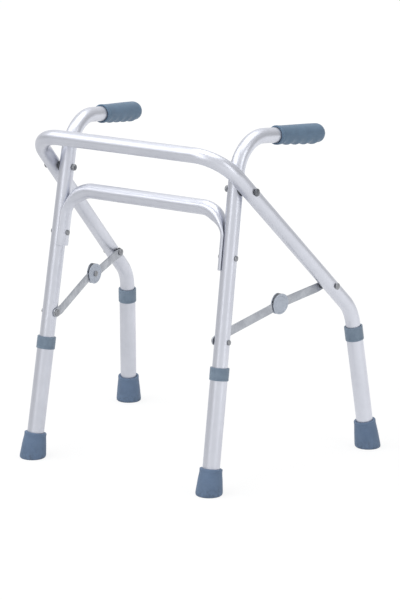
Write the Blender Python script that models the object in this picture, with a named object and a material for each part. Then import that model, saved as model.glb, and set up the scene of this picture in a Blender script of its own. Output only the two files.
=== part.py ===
"""Folding, height-adjustable walker for a small child.

X points to the walker's right-hand side, Y to the rear where the child stands and Z up.
The origin is on the floor, midway between the four rubber tips. Lengths are in metres.
The right-hand half is described by the values below and the left-hand half mirrors it.
"""

from math import acos, cos, pi, radians, sin, sqrt, tan

import bmesh
import bpy
from mathutils import Matrix, Vector

# Layout of the right-hand half, on the tubes' centre lines
FRONT_FOOT = Vector((0.1810, -0.1904, 0.0))
LEG_TOP = Vector((0.1681, -0.0876, 0.5735))
REAR_CORNER = Vector((0.1872, -0.1702, 0.5523))
REAR_KNEE = Vector((0.2347, 0.1591, 0.2468))
REAR_FOOT = Vector((0.2542, 0.1904, 0.0))
HANDLE_SPLAY = radians(5.6)
HANDLE_DROP = radians(5.95)
LOWER_BAR_Z = 0.4555

# Frame tubes
TUBE_R = 0.0127
TUBE_WALL = 0.0015
TUBE_SIDES = 16
HANDLE_BEND_R = 0.064
CORNER_BEND_R = 0.058
KNEE_BEND_R = 0.070
LOWER_BAR_BEND_R = 0.045
BEND_STEP = radians(12.5)
FIT_GAP = 0.0003

# Crushed saddle at each end of the lower crossbar
SADDLE_END_Z = 0.3595
SADDLE_NEAR_R = TUBE_R + 0.0005
SADDLE_FAR_R = TUBE_R + 0.0049
SADDLE_HALF_ANGLE = radians(62.0)
SADDLE_CENTRE = 0.0153
SADDLE_START = radians(32.0)
SADDLE_FULL = radians(87.0)

# Hand grips
GRIP_START = 0.0930
GRIP_LENGTH = 0.1240
GRIP_MOUTH_R = 0.0155
GRIP_PALM_R = 0.0167
GRIP_DOME = 0.0170
GRIP_BORE_R = 0.0132
GRIP_RINGS = 20
FINGER_PITCH = 0.0230
FINGER_DEPTH = 0.0013
FIRST_FINGER_RIDGE = 0.0283
HANDLE_END_IN_GRIP = 0.0140

# Adjustable legs: a sleeve outside the frame tube, with collar and rubber tip
SLEEVE_R = 0.0143
SLEEVE_BORE_R = 0.0131
SLEEVE_START = 0.0142
FRONT_SLEEVE_TOP = 0.2084
REAR_SLEEVE_TOP = 0.2203
FRAME_TUBE_START = 0.0580
SETTING_PITCH = 0.0250
SETTINGS = 5
STUD_HEIGHT = 0.0850
STUD_HOLE_R = 0.0036
COLLAR_R = 0.0159
FRONT_COLLAR_HEIGHT = 0.0210
REAR_COLLAR_HEIGHT = 0.0243
COLLAR_LIP = 0.0040
TIP_BASE_R = 0.0228
TIP_TOP_R = 0.0188
FRONT_TIP_HEIGHT = 0.0430
REAR_TIP_HEIGHT = 0.0490
TIP_BORE_R = 0.0147
TIP_BORE_FLOOR = 0.0122
TIP_SOLE_RECESS_R = 0.0110
TIP_SOLE_RECESS = 0.0022
TIP_WASHER_R = 0.0138
TIP_WASHER_THICKNESS = 0.0014

# Spring clip and stud inside each frame tube
CLIP_WIDTH = 0.0080
CLIP_THICKNESS = 0.0008
CLIP_REACH = 0.0100
CLIP_LEAF_BELOW = 0.0125
CLIP_LEAF_ABOVE = 0.0100
STUD_R = 0.0031
STUD_REACH = 0.0168

# Fold pivot
PIVOT_SPACER_R = 0.0090
PIVOT_SPACER_BACK = 0.0096
PIVOT_SHANK_R = 0.0030
PIVOT_HOLE_R = 0.0035
PIVOT_HEAD_R = 0.0066
PIVOT_HEAD_H = 0.0042
PIVOT_NUT_R = 0.0058
PIVOT_NUT_H = 0.0046

# Side braces: two flat bars each, which turn about axes along X
FRONT_BRACE_Z = 0.2465
REAR_BRACE_Z = 0.2990
BRACE_CENTRE_Y = -0.0014
BRACE_CENTRE_Z = 0.2830
LINK_THICKNESS = 0.0020
FRONT_LINK_WIDTH = 0.0160
REAR_LINK_WIDTH = 0.0160
REAR_LINK_DROP = 0.0016
LINK_BEND = 0.0070
EYE_HOLE_R = 0.0030
FRONT_EYE_X = 0.1612
FRONT_HINGE_X = 0.1892
REAR_HINGE_X = 0.1915
REAR_EYE_X = 0.2094
FRONT_HINGE_FLAT = 0.0175
REAR_HINGE_FLAT = 0.0090
END_FLAT = 0.0090
BRACE_SHANK_R = 0.0025
BRACE_HOLE_R = 0.0030
FRONT_HEAD_R = 0.0044
FRONT_HEAD_H = 0.0026
REAR_HEAD_R = 0.0056
REAR_HEAD_H = 0.0036
BRACE_SPACER_R = 0.0077
CAP_R = 0.0060
CAP_H = 0.0031

# Round hinge drum in the middle of each brace: two discs and a wall over the top
DRUM_R = 0.0175
DRUM_INNER_X = 0.1863
DRUM_OUTER_X = 0.1957
DRUM_SLANT = 0.194
DRUM_PLATE = 0.0016
DRUM_WALL = 0.0016
DRUM_WALL_FROM = radians(31.0)
DRUM_WALL_TO = radians(149.0)
DRUM_SIDES = 24
HINGE_HEAD_R = 0.0050
HINGE_HEAD_H = 0.0032
HINGE_STOP_X = 0.1936

# Rivets that hold the lower crossbar's saddles
RIVET_Z = 0.3810
RIVET_SHANK_R = 0.0023
RIVET_HOLE_R = 0.0028
RIVET_HEAD_R = 0.0046
RIVET_HEAD_H = 0.0025

ROUND_SIDES = 12
BOLT_SIDES = 10
HOLE_SIDES = 8

SIDES = {"right": 1.0, "left": -1.0}


def mirrored(point, side):
    """The same point on the chosen side of the walker."""
    return Vector((point.x * side, point.y, point.z))


def point_at_height(bottom, top, height):
    """Where the line from bottom to top passes a height above the floor."""
    return bottom.lerp(top, (height - bottom.z) / (top.z - bottom.z))


def lean(bottom, top):
    """How far a tube leans to the side for each unit of its length in the side view."""
    return abs(top.x - bottom.x) / sqrt((top.y - bottom.y) ** 2 + (top.z - bottom.z) ** 2)


def tube_edge(tube_lean, radius):
    """Clear distance in X from a leaning tube's centre line to a face of this radius."""
    return TUBE_R * sqrt(1.0 + tube_lean ** 2) + tube_lean * radius + FIT_GAP


def fold_pivot():
    """The crossing of front leg and rear frame in the side view, as (y, z)."""
    leg_slope = (LEG_TOP.y - FRONT_FOOT.y) / (LEG_TOP.z - FRONT_FOOT.z)
    arm_slope = (REAR_KNEE.y - REAR_CORNER.y) / (REAR_KNEE.z - REAR_CORNER.z)
    offset = REAR_CORNER.y - arm_slope * REAR_CORNER.z - FRONT_FOOT.y
    height = offset / (leg_slope - arm_slope)
    return FRONT_FOOT.y + leg_slope * height, height


def handle_direction():
    """Unit vector from the top of the right front leg along its handle."""
    level = cos(HANDLE_DROP)
    return Vector((sin(HANDLE_SPLAY) * level, cos(HANDLE_SPLAY) * level, -sin(HANDLE_DROP)))


def handle_point(distance):
    """Point on the handle's centre line, measured from the virtual corner."""
    return LEG_TOP + handle_direction() * distance


def material(name, colour, roughness, metallic):
    """A Principled material with plain values."""
    made = bpy.data.materials.new(name)
    made.use_nodes = True
    shader = made.node_tree.nodes["Principled BSDF"]
    shader.inputs["Base Color"].default_value = (*colour, 1.0)
    shader.inputs["Roughness"].default_value = roughness
    shader.inputs["Metallic"].default_value = metallic
    made.diffuse_color = (*colour, 1.0)
    return made


def finished_mesh(name, bm):
    """Turn a bmesh into a closed mesh that faces out, shaded smooth over small angles."""
    bmesh.ops.remove_doubles(bm, verts=bm.verts, dist=1e-7)
    bmesh.ops.recalc_face_normals(bm, faces=bm.faces)
    mesh = bpy.data.meshes.new(name)
    bm.to_mesh(mesh)
    bm.free()
    mesh.shade_smooth()
    mesh.set_sharp_from_angle(angle=radians(35.0))
    return mesh


def finish(name, bm, surface, origin=Vector(), parent=None):
    """Turn a bmesh in world coordinates into a named object with its own origin."""
    bmesh.ops.translate(bm, verts=bm.verts, vec=-origin)
    return place(name, finished_mesh(name, bm), surface, Matrix.Translation(origin), parent)


def world_of(item):
    """World matrix of an object, from its own placing and those of its parents."""
    matrix = item.matrix_basis.copy()
    while item.parent:
        item = item.parent
        matrix = item.matrix_basis @ matrix
    return matrix


def hang(item, matrix, parent):
    """Place an object at a world matrix, under the axis that carries it."""
    item.parent = parent
    item.matrix_basis = world_of(parent).inverted() @ matrix if parent else matrix


def place(name, mesh, surface, matrix, parent=None):
    """Put a mesh into the scene under a name, at a world matrix."""
    body = bpy.data.objects.new(name, mesh)
    bpy.context.scene.collection.objects.link(body)
    if surface and not mesh.materials:
        mesh.materials.append(surface)
    hang(body, matrix, parent)
    return body


def joint_axis(name, origin, parent=None):
    """An empty on a joint's axis, which carries the pieces that move together."""
    empty = bpy.data.objects.new(name, None)
    bpy.context.scene.collection.objects.link(empty)
    hang(empty, Matrix.Translation(origin), parent)
    return empty


def bore(body, cutters):
    """Drill the cutters' shapes out of a body with one exact Boolean."""
    joined = bmesh.new()
    for cutter in cutters:
        joined.from_mesh(cutter)
    mesh = bpy.data.meshes.new(body.name + "_cutter")
    joined.to_mesh(mesh)
    joined.free()
    tool = bpy.data.objects.new(body.name + "_cutter", mesh)
    bpy.context.scene.collection.objects.link(tool)
    tool.hide_render = True
    tool.display_type = "WIRE"
    modifier = body.modifiers.new("holes", "BOOLEAN")
    modifier.operation = "DIFFERENCE"
    modifier.solver = "EXACT"
    modifier.object = tool


def drill(centre, axis, radius, length, sides=HOLE_SIDES):
    """Mesh of a cylinder for drilling, centred on a point along an axis."""
    bm = bmesh.new()
    turn = axis.to_track_quat("Z", "Y").to_matrix().to_4x4()
    bmesh.ops.create_cone(
        bm, cap_ends=True, segments=sides, radius1=radius, radius2=radius,
        depth=length, matrix=Matrix.Translation(centre) @ turn)
    mesh = bpy.data.meshes.new("drill")
    bm.to_mesh(mesh)
    bm.free()
    return mesh


def loft(bm, rings, closed=False, capped=False):
    """Skin a row of equal vertex rings, with quads between each two."""
    rows = [[bm.verts.new(point) for point in ring] for ring in rings]
    pairs = list(zip(rows, rows[1:]))
    if closed:
        pairs.append((rows[-1], rows[0]))
    for lower, upper in pairs:
        count = len(lower)
        for i in range(count):
            j = (i + 1) % count
            bm.faces.new((lower[i], lower[j], upper[j], upper[i]))
    if capped:
        bm.faces.new(rows[0])
        bm.faces.new(rows[-1])
    return rows


def ring(centre, across, along, radius, sides=TUBE_SIDES):
    """Points of a circle spanned by two perpendicular directions."""
    steps = [2.0 * pi * (i + 0.5) / sides for i in range(sides)]
    return [centre + (across * cos(a) + along * sin(a)) * radius for a in steps]


def turned(profile, sides=ROUND_SIDES, closed=False):
    """Spin a profile of (radius, height) points about Z into a closed mesh."""
    bm = bmesh.new()
    points = [bm.verts.new((radius, 0.0, height)) for radius, height in profile]
    pairs = list(zip(points, points[1:]))
    if closed:
        pairs.append((points[-1], points[0]))
    edges = [bm.edges.new(pair) for pair in pairs]
    bmesh.ops.spin(
        bm, geom=points + edges, cent=(0, 0, 0), axis=(0, 0, 1),
        angle=2.0 * pi, steps=sides, use_merge=True)
    return finished_mesh("turned", bm)


def axis_matrix(origin, axis, across=None):
    """Matrix that stands a turned piece's Z on an axis, with X near across."""
    up = axis.normalized()
    guide = across if across else Vector((0.0, 0.0, 1.0))
    side = (guide - up * up.dot(guide)).normalized()
    turn = Matrix((side, up.cross(side), up)).transposed().to_4x4()
    return Matrix.Translation(origin) @ turn


def leg_matrix(foot, above):
    """Frame of a leg: origin on the floor, Z up the tube and X to the rear."""
    return axis_matrix(foot, above - foot, Vector((0.0, 1.0, 0.0)))


def bent_path(corners, radii):
    """Centre-line points and tangents of a tube bent at its inner corners."""
    points = [corners[0]]
    tangents = [(corners[1] - corners[0]).normalized()]
    for before, corner, after, radius in zip(corners, corners[1:], corners[2:], radii):
        into = (corner - before).normalized()
        out = (after - corner).normalized()
        turn = acos(into.dot(out))
        axis = into.cross(out).normalized()
        start = corner - into * radius * tan(turn / 2.0)
        centre = start + axis.cross(into) * radius
        steps = max(2, round(turn / BEND_STEP))
        for i in range(steps + 1):
            rotation = Matrix.Rotation(turn * i / steps, 3, axis)
            points.append(centre + rotation @ (start - centre))
            tangents.append(rotation @ into)
    points.append(corners[-1])
    tangents.append((corners[-1] - corners[-2]).normalized())
    return points, tangents


def carried_frames(tangents, across):
    """Cross-section directions carried along a path without twisting."""
    frames = []
    for tangent in tangents:
        across = (across - tangent * across.dot(tangent)).normalized()
        frames.append((across, tangent.cross(across)))
    return frames


def tube_rings(points, frames, radius):
    """One circle for each point of a path."""
    return [ring(p, a, b, radius) for p, (a, b) in zip(points, frames)]


def hollow(bm, outer, inner):
    """Closed tube wall from outer rings and the matching inner rings."""
    loft(bm, outer + inner[::-1], closed=True)


def front_leg(side, finish_surface):
    """Cane-shaped front leg: foot to top bend, then back along the handle."""
    foot = mirrored(FRONT_FOOT, side)
    top = mirrored(LEG_TOP, side)
    end = mirrored(handle_point(GRIP_START + GRIP_LENGTH - HANDLE_END_IN_GRIP), side)
    up = (top - foot).normalized()
    points, tangents = bent_path([foot + up * FRAME_TUBE_START, top, end], [HANDLE_BEND_R])
    frames = carried_frames(tangents, Vector((0.0, 1.0, 0.0)))
    bm = bmesh.new()
    hollow(bm, tube_rings(points, frames, TUBE_R),
           tube_rings(points, frames, TUBE_R - TUBE_WALL))
    body = finish("front_leg_" + side_name(side), bm, finish_surface, foot)
    across = Vector((1.0, 0.0, 0.0))
    through = 4.0 * TUBE_R
    pivot = point_at_height(foot, top, fold_pivot()[1])
    stud = foot + up * STUD_HEIGHT
    rear = leg_matrix(foot, top).to_3x3().col[0]
    bore(body, [
        drill(pivot, across, PIVOT_HOLE_R, through),
        drill(point_at_height(foot, top, RIVET_Z), across, RIVET_HOLE_R, through),
        drill(point_at_height(foot, top, FRONT_BRACE_Z), across, BRACE_HOLE_R, through),
        drill(stud + rear * TUBE_R, rear, STUD_HOLE_R, TUBE_R)])
    return frames[-1]


def side_name(side):
    """Word for the side that a sign stands for."""
    return "right" if side > 0.0 else "left"


def both_halves(rings):
    """Rings from left to right, from those of the right half that starts at X = 0."""
    left = [[mirrored(point, -1.0) for point in row] for row in rings[:0:-1]]
    return left + rings


def rear_frame(surface, parent, origin):
    """Upper crossbar, both sloping arms and both rear legs, bent from one tube."""
    middle = Vector((0.0, REAR_CORNER.y, REAR_CORNER.z))
    up = (REAR_KNEE - REAR_FOOT).normalized()
    end = REAR_FOOT + up * FRAME_TUBE_START
    points, tangents = bent_path([middle, REAR_CORNER, REAR_KNEE, end],
                                 [CORNER_BEND_R, KNEE_BEND_R])
    frames = carried_frames(tangents, Vector((0.0, 0.0, 1.0)))
    bm = bmesh.new()
    hollow(bm, both_halves(tube_rings(points, frames, TUBE_R)),
           both_halves(tube_rings(points, frames, TUBE_R - TUBE_WALL)))
    body = finish("rear_frame_tube", bm, surface, origin, parent)
    across = Vector((1.0, 0.0, 0.0))
    through = 4.0 * TUBE_R
    cutters = []
    for side in SIDES.values():
        pivot = mirrored(point_at_height(REAR_KNEE, REAR_CORNER, fold_pivot()[1]), side)
        brace = mirrored(point_at_height(REAR_KNEE, REAR_CORNER, REAR_BRACE_Z), side)
        foot = mirrored(REAR_FOOT, side)
        knee = mirrored(REAR_KNEE, side)
        rear = leg_matrix(foot, knee).to_3x3().col[0]
        stud = foot + (knee - foot).normalized() * STUD_HEIGHT
        cutters.append(drill(pivot, across, PIVOT_HOLE_R, through))
        cutters.append(drill(brace, across, BRACE_HOLE_R, through))
        cutters.append(drill(stud + rear * TUBE_R, rear, STUD_HOLE_R, TUBE_R))
    bore(body, cutters)


def saddle_ring(centre, across, along, share, wall):
    """Cross-section between a round tube (share 0) and the crushed saddle (share 1).

    The saddle is a crescent about the leg's axis. Its near side faces the leg and its
    far side, one crushed tube thickness away, faces the middle of the walker.
    """
    half = TUBE_SIDES // 2
    widest = pi / 2.0 - pi / TUBE_SIDES
    reach = SADDLE_HALF_ANGLE - wall * 60.0
    points = []
    for i in range(TUBE_SIDES):
        angle = 2.0 * pi * (i + 0.5) / TUBE_SIDES - pi / 2.0
        circle = Vector((cos(angle), sin(angle))) * (TUBE_R - wall)
        if i < half:
            bend = angle / widest * reach
            radius = SADDLE_NEAR_R + wall
        else:
            bend = (pi - angle) / widest * reach
            radius = SADDLE_FAR_R - wall
        crescent = Vector((SADDLE_CENTRE - radius * cos(bend), radius * sin(bend)))
        spot = circle.lerp(crescent, share)
        points.append(centre + across * spot.x + along * spot.y)
    return points


def smooth_step(value):
    """Ease from 0 to 1 with level ends."""
    value = min(max(value, 0.0), 1.0)
    return value * value * (3.0 - 2.0 * value)


def lower_crossbar(surface):
    """Round bar whose turned-down ends are crushed into saddles round the front legs."""
    up = (LEG_TOP - FRONT_FOOT).normalized()
    outward = (Vector((1.0, 0.0, 0.0)) - up * up.x).normalized()
    on_leg = point_at_height(FRONT_FOOT, LEG_TOP, LOWER_BAR_Z)
    corner = on_leg - outward * SADDLE_CENTRE
    middle = Vector((0.0, corner.y, corner.z))
    end = corner - up * ((LOWER_BAR_Z - SADDLE_END_Z) / up.z)
    points, tangents = bent_path([middle, corner, end], [LOWER_BAR_BEND_R])
    frames = carried_frames(tangents, up)
    level = (corner - middle).normalized()
    shares = []
    for tangent in tangents:
        turned_by = acos(min(1.0, tangent.dot(level)))
        shares.append(smooth_step((turned_by - SADDLE_START) / (SADDLE_FULL - SADDLE_START)))
    walls = []
    for wall in (0.0, TUBE_WALL):
        rows = [saddle_ring(p, a, b, share, wall)
                for p, (a, b), share in zip(points, frames, shares)]
        walls.append(both_halves(rows))
    bm = bmesh.new()
    hollow(bm, *walls)
    body = finish("lower_crossbar", bm, surface, middle)
    across = Vector((1.0, 0.0, 0.0))
    spots = [mirrored(point_at_height(FRONT_FOOT, LEG_TOP, RIVET_Z), side)
             for side in SIDES.values()]
    bore(body, [drill(spot, across, RIVET_HOLE_R, 4.0 * TUBE_R) for spot in spots])


def grip_radius(distance, downward):
    """Outer radius of a grip at a distance from its mouth.

    It widens from the mouth to the palm, ends in a dome and has finger ridges on its
    underside, where downward is 1 at the lowest point and 0 at the sides.
    """
    widening = smooth_step(distance / (0.8 * GRIP_LENGTH))
    radius = GRIP_MOUTH_R + (GRIP_PALM_R - GRIP_MOUTH_R) * widening
    dome_start = GRIP_LENGTH - GRIP_DOME
    if distance > dome_start:
        fall = (distance - dome_start) / GRIP_DOME
        radius *= sqrt(max(0.0, 1.0 - (0.985 * fall) ** 2))
    phase = 2.0 * pi * (distance - FIRST_FINGER_RIDGE) / FINGER_PITCH
    gripped = smooth_step(distance / 0.02) * (1.0 - smooth_step((distance - dome_start) / 0.012))
    return radius + FINGER_DEPTH * cos(phase) * gripped * max(0.0, downward) ** 1.5


def grip_ring(origin, axis, across, along, distance):
    """One ring of a grip's outside."""
    centre = origin + axis * distance
    points = []
    for i in range(TUBE_SIDES):
        angle = 2.0 * pi * (i + 0.5) / TUBE_SIDES
        direction = across * cos(angle) + along * sin(angle)
        points.append(centre + direction * grip_radius(distance, -direction.z))
    return points


def hand_grip(side, frame, surface):
    """Soft moulded grip, pushed over the handle and closed by a dome."""
    axis = mirrored(handle_direction(), side)
    origin = mirrored(handle_point(GRIP_START), side)
    across, along = frame
    dome_start = GRIP_LENGTH - GRIP_DOME
    stations = [dome_start * i / GRIP_RINGS for i in range(GRIP_RINGS + 1)]
    stations += [dome_start + GRIP_DOME * sin(radians(a)) for a in (28, 52, 72, 90)]
    outer = [grip_ring(origin, axis, across, along, s) for s in stations]
    depth = GRIP_LENGTH - HANDLE_END_IN_GRIP + 0.001
    inner = [ring(origin + axis * s, across, along, GRIP_BORE_R) for s in (0.0, depth)]
    bm = bmesh.new()
    loft(bm, outer[::-1] + inner, capped=True)
    finish("hand_grip_" + side_name(side), bm, surface, origin)


def dome_profile(radius, height, start=0.0, steps=3):
    """Profile of a shallow dome from its rim to the axis."""
    arcs = [pi / 2.0 * i / steps for i in range(steps + 1)]
    return [(radius * cos(a), start + height * (0.35 + 0.65 * sin(a))) for a in arcs]


def headed_shank(head_r, head_h, shank_r, length):
    """Bolt along Z: shank from 0 up to length, domed head above it."""
    profile = [(0.0, 0.0), (shank_r, 0.0), (shank_r, length), (head_r, length)]
    profile += dome_profile(head_r, head_h, length)
    return turned(profile, BOLT_SIDES)


def cap_nut(radius, height, bore_r, bore_depth):
    """Domed nut with a blind hole from its flat face at Z = 0."""
    profile = [(0.0, bore_depth), (bore_r, bore_depth), (bore_r, 0.0), (radius, 0.0)]
    profile += dome_profile(radius, height)
    return turned(profile, BOLT_SIDES)


def washer(outer_r, inner_r, thickness):
    """Flat ring from Z = 0 up."""
    profile = [(inner_r, 0.0), (outer_r, 0.0), (outer_r, thickness), (inner_r, thickness)]
    return turned(profile, closed=True)


def hexagon_nut(corner_r, bore_r, height):
    """Hexagonal nut from Z = 0 up, its outer corners chamfered and its bore round."""
    sides = 12
    levels = ((bore_r, 0.0, 0.0), (corner_r, 1.0, 0.0), (corner_r, 1.0, 0.8 * height),
              (0.86 * corner_r, 0.2, height), (bore_r, 0.0, height))
    rings = []
    for radius, hexagonal, level in levels:
        row = []
        for i in range(sides):
            angle = 2.0 * pi * i / sides
            flat = 1.0 - hexagonal * (1.0 - cos(pi / 6.0)) * (i % 2)
            row.append(Vector((cos(angle), sin(angle), 0.0)) * (radius * flat)
                       + Vector((0.0, 0.0, level)))
        rings.append(row)
    bm = bmesh.new()
    loft(bm, rings, closed=True)
    return finished_mesh("hexagon_nut", bm)


def rivet(length):
    """Rivet along Z with a domed head at each end of a shank of this length."""
    lower = [(r, -h) for r, h in dome_profile(RIVET_HEAD_R, RIVET_HEAD_H)][::-1]
    upper = dome_profile(RIVET_HEAD_R, RIVET_HEAD_H, length)
    waist = [(RIVET_HEAD_R, 0.0), (RIVET_SHANK_R, 0.0), (RIVET_SHANK_R, length),
             (RIVET_HEAD_R, length)]
    return turned(lower + waist + upper, BOLT_SIDES)


def outward_matrix(point, side):
    """Frame with Z pointing away from the walker's middle."""
    return axis_matrix(point, Vector((side, 0.0, 0.0)))


def inward_matrix(point, side):
    """Frame with Z pointing to the walker's middle."""
    return axis_matrix(point, Vector((-side, 0.0, 0.0)))


def crossbar_rivets(surface):
    """Rivets through the saddles and the front legs."""
    start = -SADDLE_FAR_R - FIT_GAP
    mesh = rivet(TUBE_R + FIT_GAP - start)
    centre = point_at_height(FRONT_FOOT, LEG_TOP, RIVET_Z)
    for name, side in SIDES.items():
        inner_end = centre + Vector((start, 0.0, 0.0))
        place("crossbar_rivet_" + name, mesh, surface,
              outward_matrix(mirrored(inner_end, side), side))


def pivot_hardware(steel, plastic):
    """Bolt, nut and saddle spacer of the fold pivot on each side."""
    height = fold_pivot()[1]
    leg = point_at_height(FRONT_FOOT, LEG_TOP, height)
    arm = point_at_height(REAR_KNEE, REAR_CORNER, height)
    nut_start = leg.x - tube_edge(lean(FRONT_FOOT, LEG_TOP), PIVOT_NUT_R)
    head_start = arm.x + tube_edge(lean(REAR_KNEE, REAR_CORNER), PIVOT_HEAD_R)
    shank_start = nut_start - PIVOT_NUT_H - 0.0008
    bolt = headed_shank(PIVOT_HEAD_R, PIVOT_HEAD_H, PIVOT_SHANK_R, head_start - shank_start)
    nut = hexagon_nut(PIVOT_NUT_R, PIVOT_SHANK_R + 1.5 * FIT_GAP, PIVOT_NUT_H)
    for name, side in SIDES.items():
        spot = Vector((shank_start, leg.y, height))
        place("pivot_bolt_" + name, bolt, steel, outward_matrix(mirrored(spot, side), side))
        spot = Vector((nut_start, leg.y, height))
        place("pivot_nut_" + name, nut, steel, inward_matrix(mirrored(spot, side), side))
        pivot_spacer(side, plastic, leg, arm)


def pivot_spacer(side, surface, leg, arm):
    """Plastic puck between the tubes, hollowed to sit on the front leg."""
    start = leg.x + PIVOT_SPACER_BACK
    stop = arm.x - tube_edge(lean(REAR_KNEE, REAR_CORNER), PIVOT_SPACER_R)
    profile = [(PIVOT_HOLE_R, 0.0), (PIVOT_SPACER_R, 0.0), (PIVOT_SPACER_R, stop - start),
               (PIVOT_HOLE_R, stop - start)]
    mesh = turned(profile, TUBE_SIDES, closed=True)
    spot = mirrored(Vector((start, leg.y, leg.z)), side)
    body = place("pivot_spacer_" + side_name(side), mesh, surface, outward_matrix(spot, side))
    foot = mirrored(FRONT_FOOT, side)
    top = mirrored(LEG_TOP, side)
    axis = (top - foot).normalized()
    centre = mirrored(leg, side)
    bore(body, [drill(centre, axis, TUBE_R + FIT_GAP, 4.0 * PIVOT_SPACER_R, 2 * TUBE_SIDES)])


def brace_ends():
    """Front, middle and rear pivot of a brace in the side view, all at X = 0."""
    front = point_at_height(FRONT_FOOT, LEG_TOP, FRONT_BRACE_Z)
    rear = point_at_height(REAR_KNEE, REAR_CORNER, REAR_BRACE_Z)
    centre = Vector((0.0, BRACE_CENTRE_Y, BRACE_CENTRE_Z))
    return Vector((0.0, front.y, front.z)), centre, Vector((0.0, rear.y, rear.z))


def link_stations(length, half, flats):
    """Distances and half-widths along a link, from its hinge eye at 0 to its end eye."""
    start = flats[0]
    stop = length - flats[1]
    stations = [(half * cos(radians(a)), half * sin(radians(a))) for a in (165, 140, 115, 90)]
    for distance in (start, start + 0.5 * LINK_BEND, start + LINK_BEND,
                     stop - LINK_BEND, stop - 0.5 * LINK_BEND, stop):
        stations.append((distance, half))
    for angle in (90, 65, 40, 15):
        stations.append((length + half * cos(radians(angle)), half * sin(radians(angle))))
    return stations


def bend_travel(distance):
    """Sideways travel, for a slope of 1, that is eased in over the length of a bend."""
    if distance <= 0.0:
        return 0.0
    if distance < LINK_BEND:
        return distance ** 2 / (2.0 * LINK_BEND)
    return distance - 0.5 * LINK_BEND


def sideways_share(distance, length, flats):
    """Share of a link's sideways offset, straight between its two upright flats."""
    start = flats[0]
    last_bend = length - flats[1] - LINK_BEND
    travel = bend_travel(distance - start) - bend_travel(distance - last_bend)
    return travel / (last_bend - start)


def link_bar(name, side, points, offsets, section, flats, surface, parent):
    """Flat bar with an eye at each end, set over sideways so that both eyes stay upright.

    The section is the bar's width and how far its middle lies below the line of its eyes.
    """
    width, drop = section
    hinge, end = points
    first_x, last_x = offsets
    length = (end - hinge).length
    along = (end - hinge).normalized()
    out = Vector((side, 0.0, 0.0))
    up = Vector((0.0, -along.z, along.y))
    rings = []
    for distance, half in link_stations(length, 0.5 * width, flats):
        share = sideways_share(distance, length, flats)
        middle = hinge + out * (first_x + (last_x - first_x) * share) + along * distance
        rings.append([middle + up * (half * v - drop) + out * (0.5 * LINK_THICKNESS * w)
                      for v, w in ((-1, -1), (1, -1), (1, 1), (-1, 1))])
    bm = bmesh.new()
    loft(bm, rings, capped=True)
    body = finish(name, bm, surface, world_of(parent).translation, parent)
    through = 4.0 * LINK_THICKNESS
    bore(body, [drill(hinge + out * first_x, out, EYE_HOLE_R, through, ROUND_SIDES),
                drill(end + out * last_x, out, EYE_HOLE_R, through, ROUND_SIDES)])
    return body


def drum_ring(side, radii, inner, along):
    """Outline round the hinge at (angle, radius) pairs, on a plane of the drum.

    Angles count from the rear link's direction, over the top. The inner planes stand
    upright, and the outer ones slant with the bars, so each plane is (X, slant).
    """
    centre = brace_ends()[1]
    up = Vector((0.0, -along.z, along.y))
    plane_x, slant = inner
    points = []
    for angle, radius in radii:
        forward = radius * cos(angle)
        spot = centre + along * forward + up * (radius * sin(angle))
        points.append(spot + Vector((side * (plane_x + slant * forward), 0.0, 0.0)))
    return points


def hinge_drum(side, surface, parent):
    """Hinge housing: an upright inner disc, a slanting outer disc and a wall above."""
    _, centre, rear = brace_ends()
    along = (rear - centre).normalized()
    turns = [2.0 * pi * i / DRUM_SIDES for i in range(DRUM_SIDES)]
    edge = 0.0007
    rounds = [[(a, r) for a in turns] for r in (DRUM_R - edge, DRUM_R, DRUM_R, DRUM_R - edge)]
    planes = ((DRUM_INNER_X, 0.0), (DRUM_INNER_X + edge, 0.0),
              (DRUM_OUTER_X - edge, DRUM_SLANT), (DRUM_OUTER_X, DRUM_SLANT))
    bm = bmesh.new()
    loft(bm, [drum_ring(side, r, p, along) for r, p in zip(rounds, planes)], capped=True)
    origin = world_of(parent).translation
    body = finish("hinge_drum_" + side_name(side), bm, surface, origin, parent)
    wall_r = DRUM_R - DRUM_WALL
    clear_r = 1.3 * DRUM_R
    sweep = DRUM_WALL_TO - DRUM_WALL_FROM
    outline = [(DRUM_WALL_FROM + sweep * i / 8.0, wall_r) for i in range(9)]
    outline += [(DRUM_WALL_TO + (2.0 * pi - sweep) * i / 14.0, clear_r) for i in range(15)]
    room = bmesh.new()
    loft(room, [drum_ring(side, outline, (DRUM_INNER_X + DRUM_PLATE, 0.0), along),
                drum_ring(side, outline, (DRUM_OUTER_X - DRUM_PLATE, DRUM_SLANT), along)],
         capped=True)
    bmesh.ops.recalc_face_normals(room, faces=room.faces)
    cutter = bpy.data.meshes.new("room")
    room.to_mesh(cutter)
    room.free()
    bore(body, [cutter])
    spot = centre + Vector((side * DRUM_INNER_X, 0.0, 0.0))
    bore(body, [drill(spot, Vector((side, 0.0, 0.0)), EYE_HOLE_R, 3.0 * DRUM_PLATE,
                      ROUND_SIDES)])


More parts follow.
